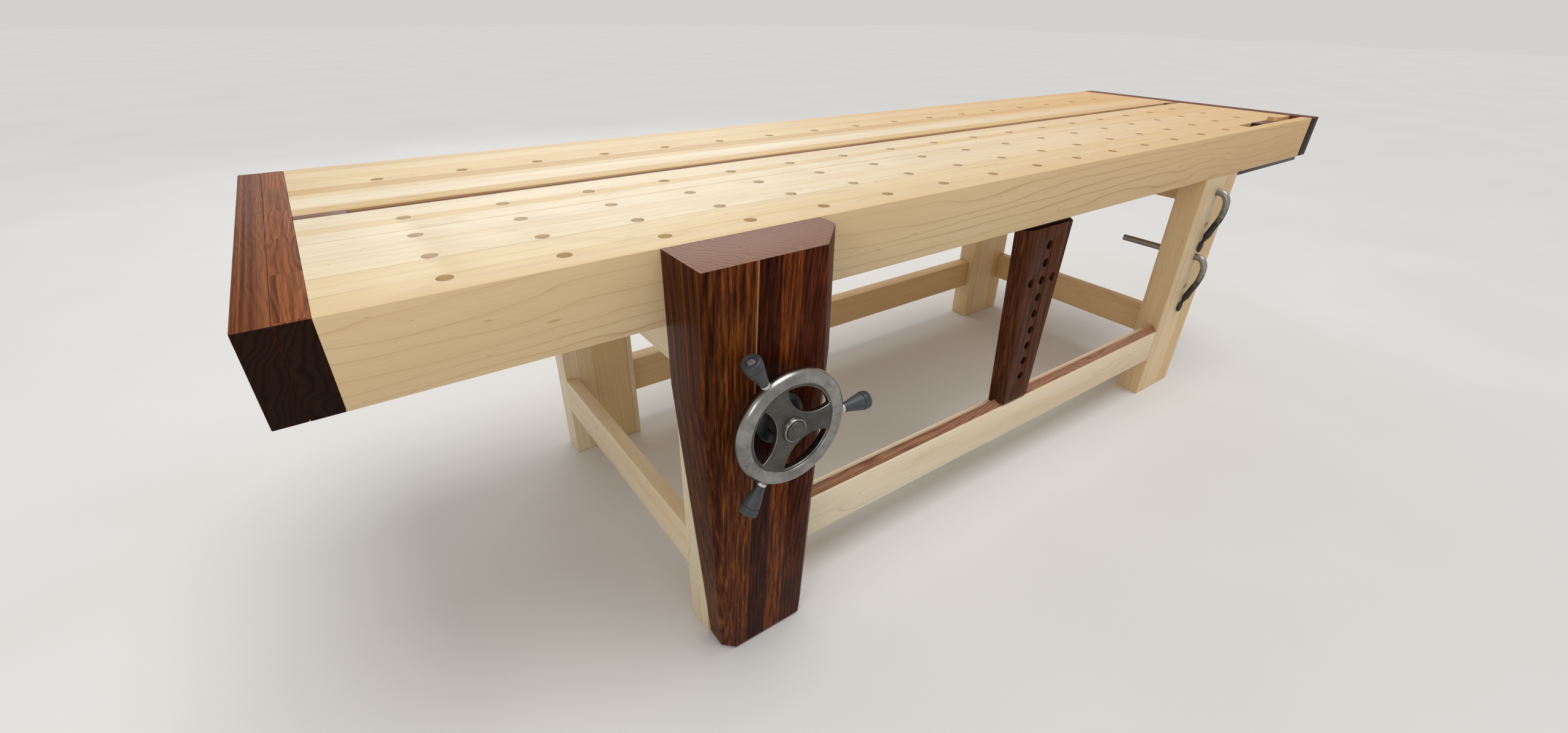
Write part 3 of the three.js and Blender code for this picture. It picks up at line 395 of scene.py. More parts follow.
rear_low, rear_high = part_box("slab_rear")
slab = block("slab_rear_piece", rear_low, rear_high)
drills = []
for column in range(dog_columns):
    x = rear_low[0] + dog_first + column * dog_step
    y = rear_low[1] + rear_row
    foot = rear_low[2] - clear
    drills.append(bar("drill", dog_radius, (x, y, foot), (x, y, rear_high[2] + clear)))
carve(slab, as_one(drills))
soften(slab, 0.0012)
finish_piece(slab, maple_top, "slab_rear")


# End caps, fillers and gap stop: black walnut, planed and oiled. The left cap is a long board
# outside and a row of short blocks inside; the fillers close the split's ends, the stop is loose.
# Walnut: growth bands from chocolate to a warm tan, fine streaks, dark pores and dark end grain.
def walnut(name, grain, board_axis, board_mm, shades, ring_mm, bands=0.45, wander=70,
           ends="#2a1810", gloss=0.3, edges=None):
    material, tree, shader, place = surface(name)
    across = add(tree, "SeparateXYZ", {0: place}, out=board_axis)
    if edges:
        left, right, steps = edges
        share = add(tree, "MapRange", {0: across, 1: left, 2: right})
        board = add(tree, "ValToRGB", {0: share}, stops=steps)
        board.node.color_ramp.interpolation = "CONSTANT"
        board = add(tree, "SeparateColor", {0: board})
    else:
        board = add(tree, "Math", {0: across, 1: 1000 / board_mm}, operation="MULTIPLY")
        board = add(tree, "Math", {0: board}, operation="FLOOR")
    dark, middle, light = shades
    rings, lot, shift = growth_rings(tree, place, grain, board, ring_mm, wander)
    streak_at = stretched(tree, place, grain, 4.4, 2600, shift)
    streaks = add(tree, "TexNoise", {
        "Vector": streak_at, "Scale": 1.0, "Detail": 5.0, "Roughness": 0.68,
    })
    wood = add(tree, "ValToRGB", {0: streaks}, stops=[(0.37, dark), (0.52, middle), (0.70, light)])
    ringed = add(tree, "ValToRGB", {0: rings}, stops=[
        (0.0, dark), (0.14, middle), (0.55, light), (0.86, middle), (0.95, dark), (1.0, dark),
    ])
    wood = add(tree, "Mix", {0: bands, 6: wood, 7: ringed}, out=2, data_type="RGBA")
    tone = add(tree, "ValToRGB", {0: lot}, stops=[(0.0, 0.78), (1.0, 1.0)])
    wood = add(tree, "Mix", {0: 1.0, 6: wood, 7: tone}, out=2,
               data_type="RGBA", blend_type="MULTIPLY")
    # The pores are drawn 1 mm wide, coarser than the real ones, so that they show.
    pore_at = stretched(tree, place, grain, 1.0, 30, shift)
    pores = add(tree, "TexNoise", {
        "Vector": pore_at, "Scale": 1.0, "Detail": 3.0, "Roughness": 0.65,
    })
    dots = add(tree, "ValToRGB", {0: pores}, stops=[(0.52, 0.0), (0.74, 0.5)])
    wood = add(tree, "Mix", {0: dots, 6: wood, 7: "#24130c"}, out=2, data_type="RGBA")
    facing = add(tree, "TexCoord", out="Normal")
    facing = add(tree, "SeparateXYZ", {0: facing}, out="XYZ".index(grain))
    facing = add(tree, "Math", {0: facing}, operation="ABSOLUTE")
    end = add(tree, "ValToRGB", {0: facing}, stops=[(0.5, 0.0), (0.7, 1.0)])
    arcs = add(tree, "ValToRGB", {0: rings}, stops=[
        (0.0, 0.62), (0.3, 1.0), (0.75, 0.88), (0.95, 0.55),
    ])
    end_wood = add(tree, "Mix", {0: 1.0, 6: ends, 7: arcs}, out=2,
                   data_type="RGBA", blend_type="MULTIPLY")
    wood = add(tree, "Mix", {0: end, 6: wood, 7: end_wood}, out=2, data_type="RGBA")
    tree.links.new(wood, shader["Base Color"])
    sheen = add(tree, "ValToRGB", {0: pores}, stops=[(0.3, 0.34), (0.8, 0.52)])
    tree.links.new(sheen, shader["Roughness"])
    relief = add(tree, "Bump", {"Height": pores, "Strength": 0.16, "Distance": 0.0006}, invert=True)
    tree.links.new(relief, shader["Normal"])
    shader["IOR"].default_value = 1.5
    shader["Specular IOR Level"].default_value = gloss
    return material, tree, shader, place, wood, end


cap_shades = ("#4b2412", "#7b4326", "#a7663a")
walnut_cap = walnut("oiled_walnut_cap", "Y", 0, 900, cap_shades, 6, 0.2, gloss=0.05)[0]
block_shades = ("#5a2b14", "#8a4d2a", "#b5713f")
walnut_blocks = walnut(
    "oiled_walnut_blocks", "Y", 1, 150, block_shades, 9, 0.35, 110, gloss=0.05,
)[0]
strip_shades = ("#4b2c1e", "#7a4d38", "#9d6f52")
walnut_strip = walnut("oiled_walnut_strip", "X", 0, 640, strip_shades, 6)[0]
eased("cap_left_outer", 0.0016, walnut_cap)
eased("cap_left_inner", 0.0008, walnut_blocks)
eased("cap_right", 0.0016, walnut_cap)
eased("filler_left", 0.0006, walnut_strip)
eased("filler_right", 0.0006, walnut_strip)
eased("gap_stop", 0.0012, walnut_strip)

# Deadman and its track: walnut. The board hangs by a tongue in a groove under the slab
# and rides with a notch on the ridge, which is glued to the front stretcher.
deadman_shades = ("#2f150a", "#57301c", "#855434")
walnut_deadman = walnut(
    "oiled_walnut_deadman", "Z", 0, 900, deadman_shades, 5, 0.25, 30, gloss=0.04,
)[0]
ridge_shades = ("#6b4230", "#a06c4d", "#c0906a")
walnut_ridge = walnut("oiled_walnut_ridge", "X", 0, 900, ridge_shades, 6, 0.5, 120)[0]
eased("deadman_track", 0.0012, walnut_ridge)
eased("deadman", 0.0016, walnut_deadman)

# Chop: six walnut boards on edge, glued side by side, planed and oiled. Each has its own
# vertical streaks, from chocolate to gold, and a thin line of pale sapwood runs down from the top.
chop_low, chop_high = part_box("chop")
chop_boards = [
    (0.0, 0.36), (0.107, 0.74), (0.32, 0.13), (0.46, 0.93), (0.59, 0.05), (0.76, 0.47),
]
chop_tones = [
    (0.0, "#a7988d"), (0.107, "#d2c1b1"), (0.32, "#7c5a50"),
    (0.46, "#dcbc92"), (0.59, "#957262"), (0.76, "#94725e"),
]
chop_shades = ("#351809", "#743e20", "#cf8640")
sap_fades, sap_ends = 0.36, 0.52
# Painted reflection: the chop's end grain is given a pale greyish pink (#c09c87), standing in for
# the bright room that the oiled top reflects.
walnut_chop, tree, shader, place, wood, end = walnut(
    "oiled_walnut_chop", "Z", 0, None, chop_shades, 9, 0.2, 60, "#c09c87", 0.04,
    (chop_low[0], chop_high[0], chop_boards),
)
across = add(tree, "SeparateXYZ", {0: place}, out=0)
height = add(tree, "SeparateXYZ", {0: place}, out=2)
share = add(tree, "MapRange", {0: across, 1: chop_low[0], 2: chop_high[0]})
tone = add(tree, "ValToRGB", {0: share}, stops=chop_tones)
tone.node.color_ramp.interpolation = "CONSTANT"
# On the top the board tones give way to one pale grey: more of the painted reflection.
tone = add(tree, "Mix", {0: end, 6: tone, 7: "#d0c3ba"}, out=2, data_type="RGBA")
wood = add(tree, "Mix", {0: 1.0, 6: wood, 7: tone}, out=2,
           data_type="RGBA", blend_type="MULTIPLY")
sap_line = add(tree, "ValToRGB", {0: share}, stops=[
    (0.312, 0.0), (0.315, 1.0), (0.320, 1.0), (0.323, 0.0),
])
sap_drop = add(tree, "MapRange", {
    0: height, 1: chop_high[2] - sap_ends, 2: chop_high[2] - sap_fades,
})
sap_line = add(tree, "Math", {0: sap_line, 1: sap_drop}, operation="MULTIPLY")
sap_line = add(tree, "Math", {0: sap_line, 1: end}, operation="SUBTRACT", use_clamp=True)
wood = add(tree, "Mix", {0: sap_line, 6: wood, 7: "#ad7a45"}, out=2, data_type="RGBA")
# Painted reflection: the top is blended towards one even greyish brown that stands for the light
# the oiled end grain reflects.
painted_reflection_top = add(tree, "Math", {0: end, 1: 0.4}, operation="MULTIPLY")
wood = add(tree, "Mix", {0: painted_reflection_top, 6: wood, 7: "#8c7062"}, out=2, data_type="RGBA")
tree.links.new(wood, shader["Base Color"])
eased("chop", 0.0014, walnut_chop)


# Cross linkage and pins: cold drawn steel bars and turned rods, left bright. One arm hangs on
# a pin in the leg and the other on a pin in the chop, and both swing in deep mortises.
# Drawn steel: a grey metal with fine drawing lines along it and a few dull stains.
def drawn_steel(name, along, roughness, colour="#8f9294"):
    # Lines 1.1 mm wide, coarser than the real ones so that they show, and 83 mm long.
    lines_across, lines_along = 900.0, 12.0
    stains_per_metre = 38.0  # stains of 26 mm
    material, tree, shader, place = surface(name)
    scale = [lines_across] * 3
    scale["XYZ".index(along)] = lines_along
    lines_at = add(tree, "Mapping", {"Vector": place, "Scale": scale})
    lines = add(tree, "TexNoise", {"Vector": lines_at, "Scale": 1.0})
    stain = add(tree, "TexNoise", {"Vector": place, "Scale": stains_per_metre, "Detail": 4.0})
    stain = add(tree, "ValToRGB", {0: stain}, stops=[(0.4, 0.0), (0.75, 0.6)])
    metal = add(tree, "Mix", {0: stain, 6: colour, 7: "#5f5d5a"}, out=2, data_type="RGBA")
    tree.links.new(metal, shader["Base Color"])
    dull = add(tree, "ValToRGB", {0: lines}, stops=[
        (0.3, roughness - 0.07), (0.7, roughness + 0.08),
    ])
    tree.links.new(dull, shader["Roughness"])
    shader["Metallic"].default_value = 1.0
    return material, tree, shader, place


steel_arm = drawn_steel("drawn_steel_bar", "Z", 0.36)[0]
steel_pin = drawn_steel("drawn_steel_pin", "X", 0.32)[0]
eased("cross_arm_leg", 0.0008, steel_arm)
eased("cross_arm_chop", 0.0008, steel_arm)
eased("cross_pin_leg", 0.0006, steel_pin)
eased("cross_pin_chop", 0.0006, steel_pin)


# Vise screws: turned steel rods with a square thread at 12.7 and 6.35 mm a turn, held by the
# wheels' hubs. The thread is drawn in the surface as bands at the screw's own pitch.
def threaded_steel(name, along, pitch):
    material, tree, shader, place = drawn_steel(name, along, 0.30)
    phase = add(tree, "SeparateXYZ", {0: place}, out="XYZ".index(along))
    phase = add(tree, "Math", {0: phase, 1: 1 / pitch}, operation="MULTIPLY")
    phase = add(tree, "Math", {0: phase}, operation="FRACT")
    tooth = add(tree, "ValToRGB", {0: phase}, stops=[
        (0.0, 0.0), (0.08, 1.0), (0.46, 1.0), (0.54, 0.0),
    ])
    thread = add(tree, "Bump", {"Height": tooth, "Strength": 0.9, "Distance": 0.002})
    tree.links.new(thread, shader["Normal"])
    return material


leg_pitch, tail_pitch = 0.0127, 0.00635
eased("leg_vise_screw", 0.0008, threaded_steel("threaded_steel_leg", "Y", leg_pitch))
eased("tail_screw", 0.0008, threaded_steel("threaded_steel_tail", "X", tail_pitch))

# Flanges, nut and slide guides: small black iron castings, shot blasted and painted. The leg
# vise flange is held to the chop by four hex bolts whose heads show behind the wheel.
# Painted casting: almost black, with a fine grit from the sand mould.
grit_per_metre = 700.0  # grit of 1.4 mm, coarser than the real one so that it shows
black_iron, tree, shader, place = surface("painted_black_casting")
grit = add(tree, "TexNoise", {"Vector": place, "Scale": grit_per_metre, "Detail": 2.0})
paint = add(tree, "ValToRGB", {0: grit}, stops=[(0.3, "#1d1d1f"), (0.7, "#2b2b2d")])
tree.links.new(paint, shader["Base Color"])
relief = add(tree, "Bump", {"Height": grit, "Strength": 0.25, "Distance": 0.0005})
tree.links.new(relief, shader["Normal"])
shader["Roughness"].default_value = 0.45
castings = ("leg_vise_flange", "leg_vise_nut", "tail_flange", "tail_guide_front", "tail_guide_rear")
for node in castings:
    eased(node, 0.0007, black_iron)
flange_low, flange_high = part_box("leg_vise_flange")
vise_axis = Vector((
    (flange_low[0] + flange_high[0]) / 2, 0, (flange_low[2] + flange_high[2]) / 2,
))
boss_proud = 0.004
bolt_face = flange_low[1] + boss_proud
bolt_circle = 0.034
head_radius = 0.0052
head_proud = 0.0036
head_sunk = 0.001
bolts = []
for quarter in range(4):
    angle = math.radians(45 + 90 * quarter)
    spot = vise_axis + Vector((math.cos(angle), 0, math.sin(angle))) * bolt_circle
    outer_end = (spot.x, bolt_face - head_proud, spot.z)
    inner_end = (spot.x, bolt_face + head_sunk, spot.z)
    bolts.append(bar("hex_head", head_radius, outer_end, inner_end, 6))
heads = as_one(bolts)
heads.name = "flange_bolts"
soften(heads, 0.0005)
finish_piece(heads, black_iron, body="chop")


# Handwheel: an aluminium casting. The round rim is polished by use; the web sits just behind the
# rim's front, left as cast, with three windows with rolled lips; the hub carries a plain cap.
def turned(name, profile, origin, axis, sides, solid=True):
    """Turns a profile of radius and height pairs: a circle is extruded and resized step by step."""
    deselect()
    radius, height = profile[0]
    filled = "NGON" if solid else "NOTHING"
    bpy.ops.mesh.primitive_circle_add(vertices=sides, radius=radius, fill_type=filled)
    piece = bpy.context.object
    piece.name = name
    bpy.ops.object.mode_set(mode="EDIT")
    bpy.ops.mesh.select_all(action="SELECT")
    bpy.ops.transform.translate(value=(0, 0, height))
    for (r0, h0), (r1, h1) in zip(profile, profile[1:]):
        bpy.ops.mesh.extrude_region_move(TRANSFORM_OT_translate={"value": (0, 0, h1 - h0)})
        bpy.ops.transform.resize(value=(r1 / r0, r1 / r0, 1), center_override=(0, 0, 0))
    bpy.ops.mesh.select_all(action="SELECT")
    bpy.ops.mesh.remove_doubles(threshold=0.000005)
    bpy.ops.mesh.normals_make_consistent(inside=False)
    bpy.ops.object.mode_set(mode="OBJECT")
    facing = Vector(axis).to_track_quat("Z", "Y").to_matrix().to_4x4()
    piece.data.transform(Matrix.Translation(origin) @ facing)
    return piece


# Cast aluminium: soft grey highlights, a fine sand skin, and darker worn specks.
def cast_aluminium(name, colour, shade, roughness, skin_strength):
    skin_per_metre = 420.0  # sand skin of 2.4 mm, coarser than the real one so that it shows
    wear_mm = 25
    material, tree, shader, place = surface(name)
    skin = add(tree, "TexNoise", {"Vector": place, "Scale": skin_per_metre, "Detail": 4.0})
    cloud = add(tree, "TexNoise", {
        "Vector": place, "Scale": 1000 / wear_mm, "Detail": 6.0, "Roughness": 0.65,
    })
    worn = add(tree, "ValToRGB", {0: cloud}, stops=[(0.36, 0.0), (0.70, 1.0)])
    metal = add(tree, "Mix", {0: worn, 6: colour, 7: shade}, out=2, data_type="RGBA")
    speck = add(tree, "ValToRGB", {0: skin}, stops=[(0.60, 0.0), (0.74, 0.55)])
    metal = add(tree, "Mix", {0: speck, 6: metal, 7: "#5c5b58"}, out=2, data_type="RGBA")
    tree.links.new(metal, shader["Base Color"])
    dull = add(tree, "ValToRGB", {0: cloud}, stops=[
        (0.3, roughness - 0.06), (0.7, roughness + 0.08),
    ])
    tree.links.new(dull, shader["Roughness"])
    relief = add(tree, "Bump", {"Height": skin, "Strength": skin_strength, "Distance": 0.0004})
    tree.links.new(relief, shader["Normal"])
    shader["Metallic"].default_value = 1.0
    return material


rim_metal = cast_aluminium("polished_cast_aluminium", "#9f9d99", "#767470", 0.25, 0.12)
web_metal = cast_aluminium("raw_cast_aluminium", "#62615d", "#4b4a47", 0.44, 0.35)
wheel_low, wheel_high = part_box("handwheel")
rim_tube = 0.0125
rim_radius = 0.082
rim_out = rim_radius + rim_tube
rim_set_back = 0.0005
wheel_centre = Vector((vise_axis.x, wheel_low[1] + rim_set_back + rim_tube, vise_axis.z))
toward_user = Vector((0, -1, 0))
handle_angles = {"right": -2, "upper": 118, "lower": 238}


def spoke_way(degrees):
    return Vector((math.cos(math.radians(degrees)), 0, math.sin(math.radians(degrees))))


deselect()
bpy.ops.mesh.primitive_torus_add(
    major_radius=rim_radius, minor_radius=rim_tube, major_segments=96, minor_segments=28,
    location=wheel_centre, rotation=(math.pi / 2, 0, 0),
)
rim = bpy.context.object
rim.name = "handwheel_rim"
bpy.ops.object.transform_apply(location=True, rotation=True, scale=True)
seat_radius = 0.0078
seat_deep = 0.0015
seat_reach = 0.012
for angle in handle_angles.values():
    way = spoke_way(angle)
    seat = wheel_centre + way * (rim_out - seat_deep)
    carve(rim, bar("seat_tool", seat_radius, seat, seat + way * seat_reach, 32))
pick(rim)
bpy.ops.object.shade_smooth_by_angle(angle=math.radians(40))
finish_piece(rim, rim_metal, "handwheel")

web_depth = 0.009
web_forward = 0.007
web_front = wheel_centre.y - web_forward
web = turned("handwheel_web", [(rim_radius, 0), (rim_radius, web_depth)],
             Vector((vise_axis.x, web_front + web_depth, vise_axis.z)), toward_user, 96)
window_out = 0.068
window_bow = 0.055
window_far = 0.084
window_corner = 0.007
window_front, window_back = 0.03, 0.04
lip_radius = 0.0016
flat_limit = 0.9
for angle in handle_angles.values():
    near_end, far_end = vise_axis.copy(), vise_axis.copy()
    near_end.y, far_end.y = web_front - window_front, web_front + window_back
    window = bar("window_tool", window_out, near_end, far_end, 96)
    beside = spoke_way(angle + 60) * window_far
    bow_start = near_end + beside + toward_user * clear
    bow_end = far_end + beside - toward_user * clear
    carve(window, bar("bow_tool", window_bow, bow_start, bow_end, 96), "INTERSECT")
    soften(window, window_corner, 6, 50)
    carve(web, window)
soften(web, lip_radius, 3)
finish_piece(web, web_metal, body="leg_wheel")
web.data.materials.append(rim_metal)
for face in web.data.polygons:
    if abs(face.normal.y) < flat_limit:
        face.material_index = 1

hub_gap = 0.0002
hub_back = wheel_high[1] - hub_gap
hub_length = hub_back - wheel_low[1]
hub_bore = 0.0105
cap_seat = 0.0163
seat_floor = hub_length - 0.003
hub = turned("handwheel_hub", [
    (hub_bore, 0), (0.0265, 0), (0.0250, hub_length * 0.4), (0.0235, hub_length * 0.75),
    (0.0200, hub_length * 0.82), (0.0193, hub_length - 0.0015), (0.0183, hub_length),
    (cap_seat, hub_length), (cap_seat, seat_floor), (hub_bore, seat_floor), (hub_bore, 0),
], Vector((vise_axis.x, hub_back, vise_axis.z)), toward_user, 64, False)
soften(hub, 0.0006)
finish_piece(hub, rim_metal, body="leg_wheel")
cap_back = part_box("hub_cap")[1][1]
hub_cap = turned("hub_cap_piece", [
    (0.0160, 0), (0.0160, 0.0040), (0.0152, 0.0050), (0.0140, 0.0052), (0.0134, 0.0042),
    (0.0110, 0.0042), (0.0050, 0.0048), (0.001, 0.0050),
], Vector((vise_axis.x, cap_back, vise_axis.z)), toward_user, 64)
soften(hub_cap, 0.0003)
finish_piece(hub_cap, web_metal, "hub_cap")

# Handles: moulded charcoal plastic, waisted towards the rim and ribbed near the wide end.
# Each turns on a steel shoulder screw whose slotted head is sunk in the end.
# Moulded nylon: dark grey with a dull bloom where hands have rubbed it.
fine_per_metre = 900.0  # moulding texture of 1.1 mm, coarser than the real one so that it shows
wear_per_metre = 60.0  # rubbed patches of 17 mm
charcoal, tree, shader, place = surface("moulded_charcoal_nylon")
fine = add(tree, "TexNoise", {"Vector": place, "Scale": fine_per_metre, "Detail": 2.0})
wear = add(tree, "TexNoise", {"Vector": place, "Scale": wear_per_metre, "Detail": 4.0})
nylon = add(tree, "ValToRGB", {0: wear}, stops=[(0.3, "#2f3032"), (0.7, "#45474a")])
tree.links.new(nylon, shader["Base Color"])
dull = add(tree, "ValToRGB", {0: wear}, stops=[(0.3, 0.40), (0.7, 0.56)])
tree.links.new(dull, shader["Roughness"])
relief = add(tree, "Bump", {"Height": fine, "Strength": 0.1, "Distance": 0.0003})
tree.links.new(relief, shader["Normal"])
spindle_steel = drawn_steel("turned_steel_spindle", "Y", 0.46, "#d2d2cf")[0]
handle_length = 0.047
collar_shows = 0.005
spindle_sunk = 0.015
handle_foot = rim_out + collar_shows
spindle_foot = rim_out - spindle_sunk
handle_bore = 0.0038
ring_floor = handle_length - 0.0008
socket_floor = handle_length - 0.0046
handle_model = turned("handle_model", [
    (handle_bore, 0), (0.0072, 0), (0.0076, 0.0008), (0.0082, 0.006), (0.0094, 0.012),
    (0.0110, 0.018), (0.0126, 0.025), (0.0136, 0.0305), (0.0139, 0.0335), (0.0132, 0.0339),
    (0.0132, 0.0349), (0.0145, 0.0353), (0.0149, 0.0366), (0.0149, 0.0400), (0.0144, 0.0404),
    (0.0144, 0.0413), (0.0149, 0.0417), (0.0149, 0.0448), (0.0144, 0.0463), (0.0134, handle_length),
    (0.0098, handle_length), (0.0094, ring_floor), (0.0082, ring_floor), (0.0078, handle_length),
    (0.0068, handle_length), (0.0066, socket_floor), (handle_bore, socket_floor), (handle_bore, 0),
], Vector((handle_foot, 0, 0)), (1, 0, 0), 48, False)
handle_gap = 0.0003
head_inset = 0.001
collar_start, collar_end = 0.0138, handle_foot - spindle_foot - handle_gap
head_end = handle_foot + handle_length - spindle_foot - head_inset
rod_radius = 0.0035
head_start = head_end - 0.003
spindle_model = turned("spindle_model", [
    (rod_radius, 0), (rod_radius, collar_start), (0.0067, collar_start),
    (0.0072, collar_start + 0.0006), (0.0072, collar_end - 0.0008), (0.0066, collar_end),
    (rod_radius, collar_end), (rod_radius, head_start), (0.0056, head_start),
    (0.0060, head_end - 0.0026), (0.0060, head_end - 0.0005), (0.0056, head_end),
], Vector((spindle_foot, 0, 0)), (1, 0, 0), 40)
cut_deep, cut_past = 0.0012, 0.002
cut_reach, cut_half = 0.008, 0.0006
cut_low = (head_end + spindle_foot - cut_deep, -cut_reach, -cut_half)
cut_high = (head_end + spindle_foot + cut_past, cut_reach, cut_half)
carve(spindle_model, block("slot_tool", cut_low, cut_high))
soften(spindle_model, 0.0002)
pick(handle_model)
bpy.ops.object.shade_smooth_by_angle(angle=math.radians(30))
for name, angle in handle_angles.items():
    swing = Matrix.Rotation(-math.radians(angle), 4, "Y")
    place_on_rim = Matrix.Translation(wheel_centre) @ swing
    for model, node, material in (
        (handle_model, "handle_" + name, charcoal),
        (spindle_model, "spindle_" + name, spindle_steel),
    ):
        piece = copied(node + "_piece", model.data)
        piece.data.transform(place_on_rim)
        finish_piece(piece, material, node)
bpy.data.objects.remove(handle_model)
bpy.data.objects.remove(spindle_model)

# Wagon vise: a walnut block slides in the slot, with a squared maple dog standing in it.
# The tail screw passes through the end cap to a small cast wheel at the end of the bench.
dog_shades = ("#4b2c1e", "#744732", "#94664a")
walnut_block = walnut("oiled_walnut_block", "X", 1, 900, dog_shades, 6)[0]
eased("dog_block", 0.0010, walnut_block)
eased("bench_dog", 0.0009, maple("planed_maple_dog", "Z", 0, 60, 12, 0.3))
tail_low, tail_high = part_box("tail_wheel")
tail_centre = (Vector(tail_low) + Vector(tail_high)) / 2
tail_tube = 0.006
tail_spoke = 0.0045
spoke_start = 0.2
tail_radius = (tail_high[2] - tail_low[2]) / 2 - tail_tube
deselect()
bpy.ops.mesh.primitive_torus_add(
    major_radius=tail_radius, minor_radius=tail_tube, major_segments=64, minor_segments=20,
    location=tail_centre, rotation=(0, math.pi / 2, 0),
)
tail_wheel = bpy.context.object
tail_wheel.name = "tail_wheel_piece"
bpy.ops.object.transform_apply(location=True, rotation=True, scale=True)
tail_hub = turned("tail_hub", [
    (0.014, 0), (0.0135, 0.010), (0.0125, 0.0225), (0.0115, 0.024),
], Vector((tail_low[0], tail_centre.y, tail_centre.z)), (1, 0, 0), 40)
for third in range(3):
    angle = math.pi / 2 + third * 2 * math.pi / 3
    reach = Vector((0, math.cos(angle), math.sin(angle))) * tail_radius
    spoke_foot = tail_centre + reach * spoke_start
    spoke = bar("tail_spoke", tail_spoke, spoke_foot, tail_centre + reach, 24)
    carve(tail_wheel, spoke, "UNION")
carve(tail_wheel, tail_hub, "UNION")
pick(tail_wheel)
bpy.ops.object.shade_smooth_by_angle(angle=math.radians(40))
finish_piece(tail_wheel, rim_metal, "tail_wheel")

# Cap bolts: steel cap screws with a hexagon socket, sunk in the end caps so that their
# heads lie just below the face. They pull the caps to both slabs.
head_deep = 0.010
socket_radius = 0.0052
socket_deep = 0.006
socket_past = 0.002
for side, outward in (("left", -1), ("right", 1)):
    low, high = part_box("cap_bolt_" + side + "_front")
    y, z = (low[1] + high[1]) / 2, (low[2] + high[2]) / 2
    length = high[0] - low[0]
    foot, face = (high[0], low[0]) if outward < 0 else (low[0], high[0])
    shoulder = length - head_deep
    bolt = turned("cap_bolt_" + side + "_front_piece", [
        (0.006, 0), (0.006, shoulder), (0.0106, shoulder), (0.011, shoulder + 0.0005),
        (0.011, length - 0.001), (0.0100, length),
    ], Vector((foot, y, z)), (outward, 0, 0), 40)
    inner_end = (face - outward * socket_deep, y, z)
    outer_end = (face + outward * socket_past, y, z)
    carve(bolt, bar("socket_tool", socket_radius, inner_end, outer_end, 6))
    soften(bolt, 0.0003)
    twin = copied("cap_bolt_" + side + "_rear_piece", bolt.data)
    twin_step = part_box("cap_bolt_" + side + "_rear")[0][1] - low[1]
    twin.data.transform(Matrix.Translation((0, twin_step, 0)))
    finish_piece(bolt, steel_pin, "cap_bolt_" + side + "_front")
    finish_piece(twin, steel_pin, "cap_bolt_" + side + "_rear")

# Holdfasts: forged steel rods, hammered to a hook with a flat pad. They hang by friction in the
# leg's holes, one above the other.
# Forged steel: the shank and crook are worn bright, the arm and pad keep their dark forge scale.
leg_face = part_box("leg_front_right")[0][1]
hold_low, hold_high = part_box("holdfast_upper")
hold_x = (hold_low[0] + hold_high[0]) / 2
shank_radius = 0.009
shank_z = hold_high[2] - shank_radius
hold_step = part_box("holdfast_lower")[1][2] - hold_high[2]


def forged_steel(name, top):
    scale_below = 0.150
    marks_per_metre = 120.0  # hammer marks of 8 mm
    material, tree, shader, place = surface(name)
    height = add(tree, "SeparateXYZ", {0: place}, out=2)
    drop = add(tree, "MapRange", {0: height, 1: top, 2: top - scale_below})
    hammer = add(tree, "TexNoise", {"Vector": place, "Scale": marks_per_metre, "Detail": 3.0})
    patchy = add(tree, "Math", {0: hammer, 1: 0.5}, operation="MULTIPLY")
    dark = add(tree, "Math", {0: drop, 1: patchy}, operation="ADD")
    dark = add(tree, "ValToRGB", {0: dark}, stops=[(0.42, 0.0), (0.80, 1.0)])
    metal = add(tree, "Mix", {0: dark, 6: "#9a9996", 7: "#45423f"}, out=2, data_type="RGBA")
    tree.links.new(metal, shader["Base Color"])
    dull = add(tree, "ValToRGB", {0: hammer}, stops=[(0.3, 0.32), (0.7, 0.50)])
    tree.links.new(dull, shader["Roughness"])
    relief = add(tree, "Bump", {"Height": hammer, "Strength": 0.3, "Distance": 0.0012})
    tree.links.new(relief, shader["Normal"])
    shader["Metallic"].default_value = 1.0
    return material


shank_end = hold_high[1] - leg_face
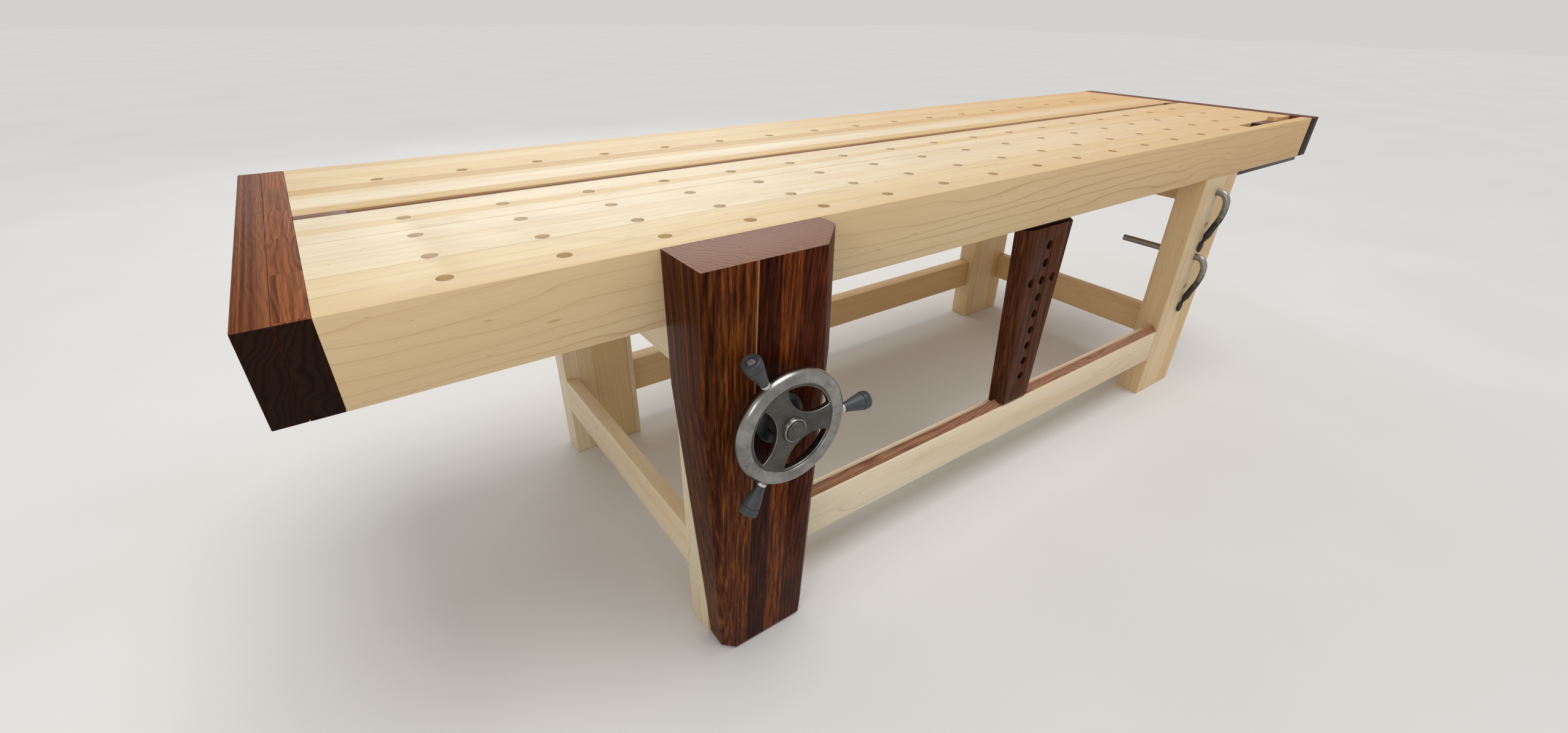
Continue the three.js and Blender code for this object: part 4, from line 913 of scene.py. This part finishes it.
# Each stop has its depth behind the leg's face, its height from the shank and its radius.
hook_route = [
    (shank_end, 0, 0.0088), (0.03, 0, 0.0089), (-0.005, 0, 0.0089), (-0.0175, -0.0025, 0.0089),
    (-0.0280, -0.0145, 0.0087), (-0.0318, -0.036, 0.0084), (-0.0285, -0.066, 0.0081),
    (-0.0186, -0.096, 0.0081), (-0.0114, -0.119, 0.0090), (-0.0084, -0.1300, 0.0058),
    (-0.0068, -0.1355, 0.0040), (-0.0056, -0.146, 0.0036),
]
path = bpy.data.curves.new("holdfast_route", "CURVE")
path.dimensions = "3D"
path.bevel_depth = 1.0
path.bevel_resolution = 6
path.use_fill_caps = True
spline = path.splines.new("BEZIER")
spline.bezier_points.add(len(hook_route) - 1)
for point, (depth, rise, radius) in zip(spline.bezier_points, hook_route):
    point.co = (hold_x, leg_face + depth, shank_z + rise)
    point.radius = radius
    point.handle_left_type = "AUTO"
    point.handle_right_type = "AUTO"
hook = bpy.data.objects.new("holdfast_upper_piece", path)
bpy.context.scene.collection.objects.link(hook)
pick(hook)
bpy.ops.object.convert(target="MESH")
hook = bpy.context.object
bpy.ops.object.mode_set(mode="EDIT")
bpy.ops.mesh.select_all(action="SELECT")
bpy.ops.mesh.remove_doubles(threshold=0.00001)
bpy.ops.mesh.normals_make_consistent(inside=False)
pad_half = (0.0148, 0.0062, 0.0165)
pad_reach = 0.0042
pad_drop = 0.1535
pad_gap = 0.0003
tip_below = -0.35
tip_narrows = (0.78, 0.85, 1.0)
deselect()
bpy.ops.mesh.primitive_uv_sphere_add(segments=36, ring_count=20, radius=1)
pad = bpy.context.object
for vertex in pad.data.vertices:
    vertex.select = vertex.co.z < tip_below
bpy.ops.object.mode_set(mode="EDIT")
bpy.ops.transform.resize(value=tip_narrows)
bpy.ops.object.mode_set(mode="OBJECT")
pad_place = Matrix.Translation((hold_x, leg_face - pad_reach, shank_z - pad_drop))
pad.data.transform(pad_place @ Matrix.Diagonal((*pad_half, 1)))
pick(pad)
bpy.ops.object.mode_set(mode="EDIT")
bpy.ops.mesh.select_all(action="SELECT")
bpy.ops.mesh.bisect(
    plane_co=(0, leg_face - pad_gap, 0), plane_no=(0, 1, 0), clear_outer=True, use_fill=True,
)
deselect()
carve(hook, pad, "UNION")
pick(hook)
bpy.ops.object.shade_smooth_by_angle(angle=math.radians(40))
lower_hook = copied("holdfast_lower_piece", hook.data)
lower_hook.data.transform(Matrix.Translation((0, 0, hold_step)))
finish_piece(hook, forged_steel("forged_steel_upper", shank_z), "holdfast_upper")
lower_z = shank_z + hold_step
finish_piece(lower_hook, forged_steel("forged_steel_lower", lower_z), "holdfast_lower")
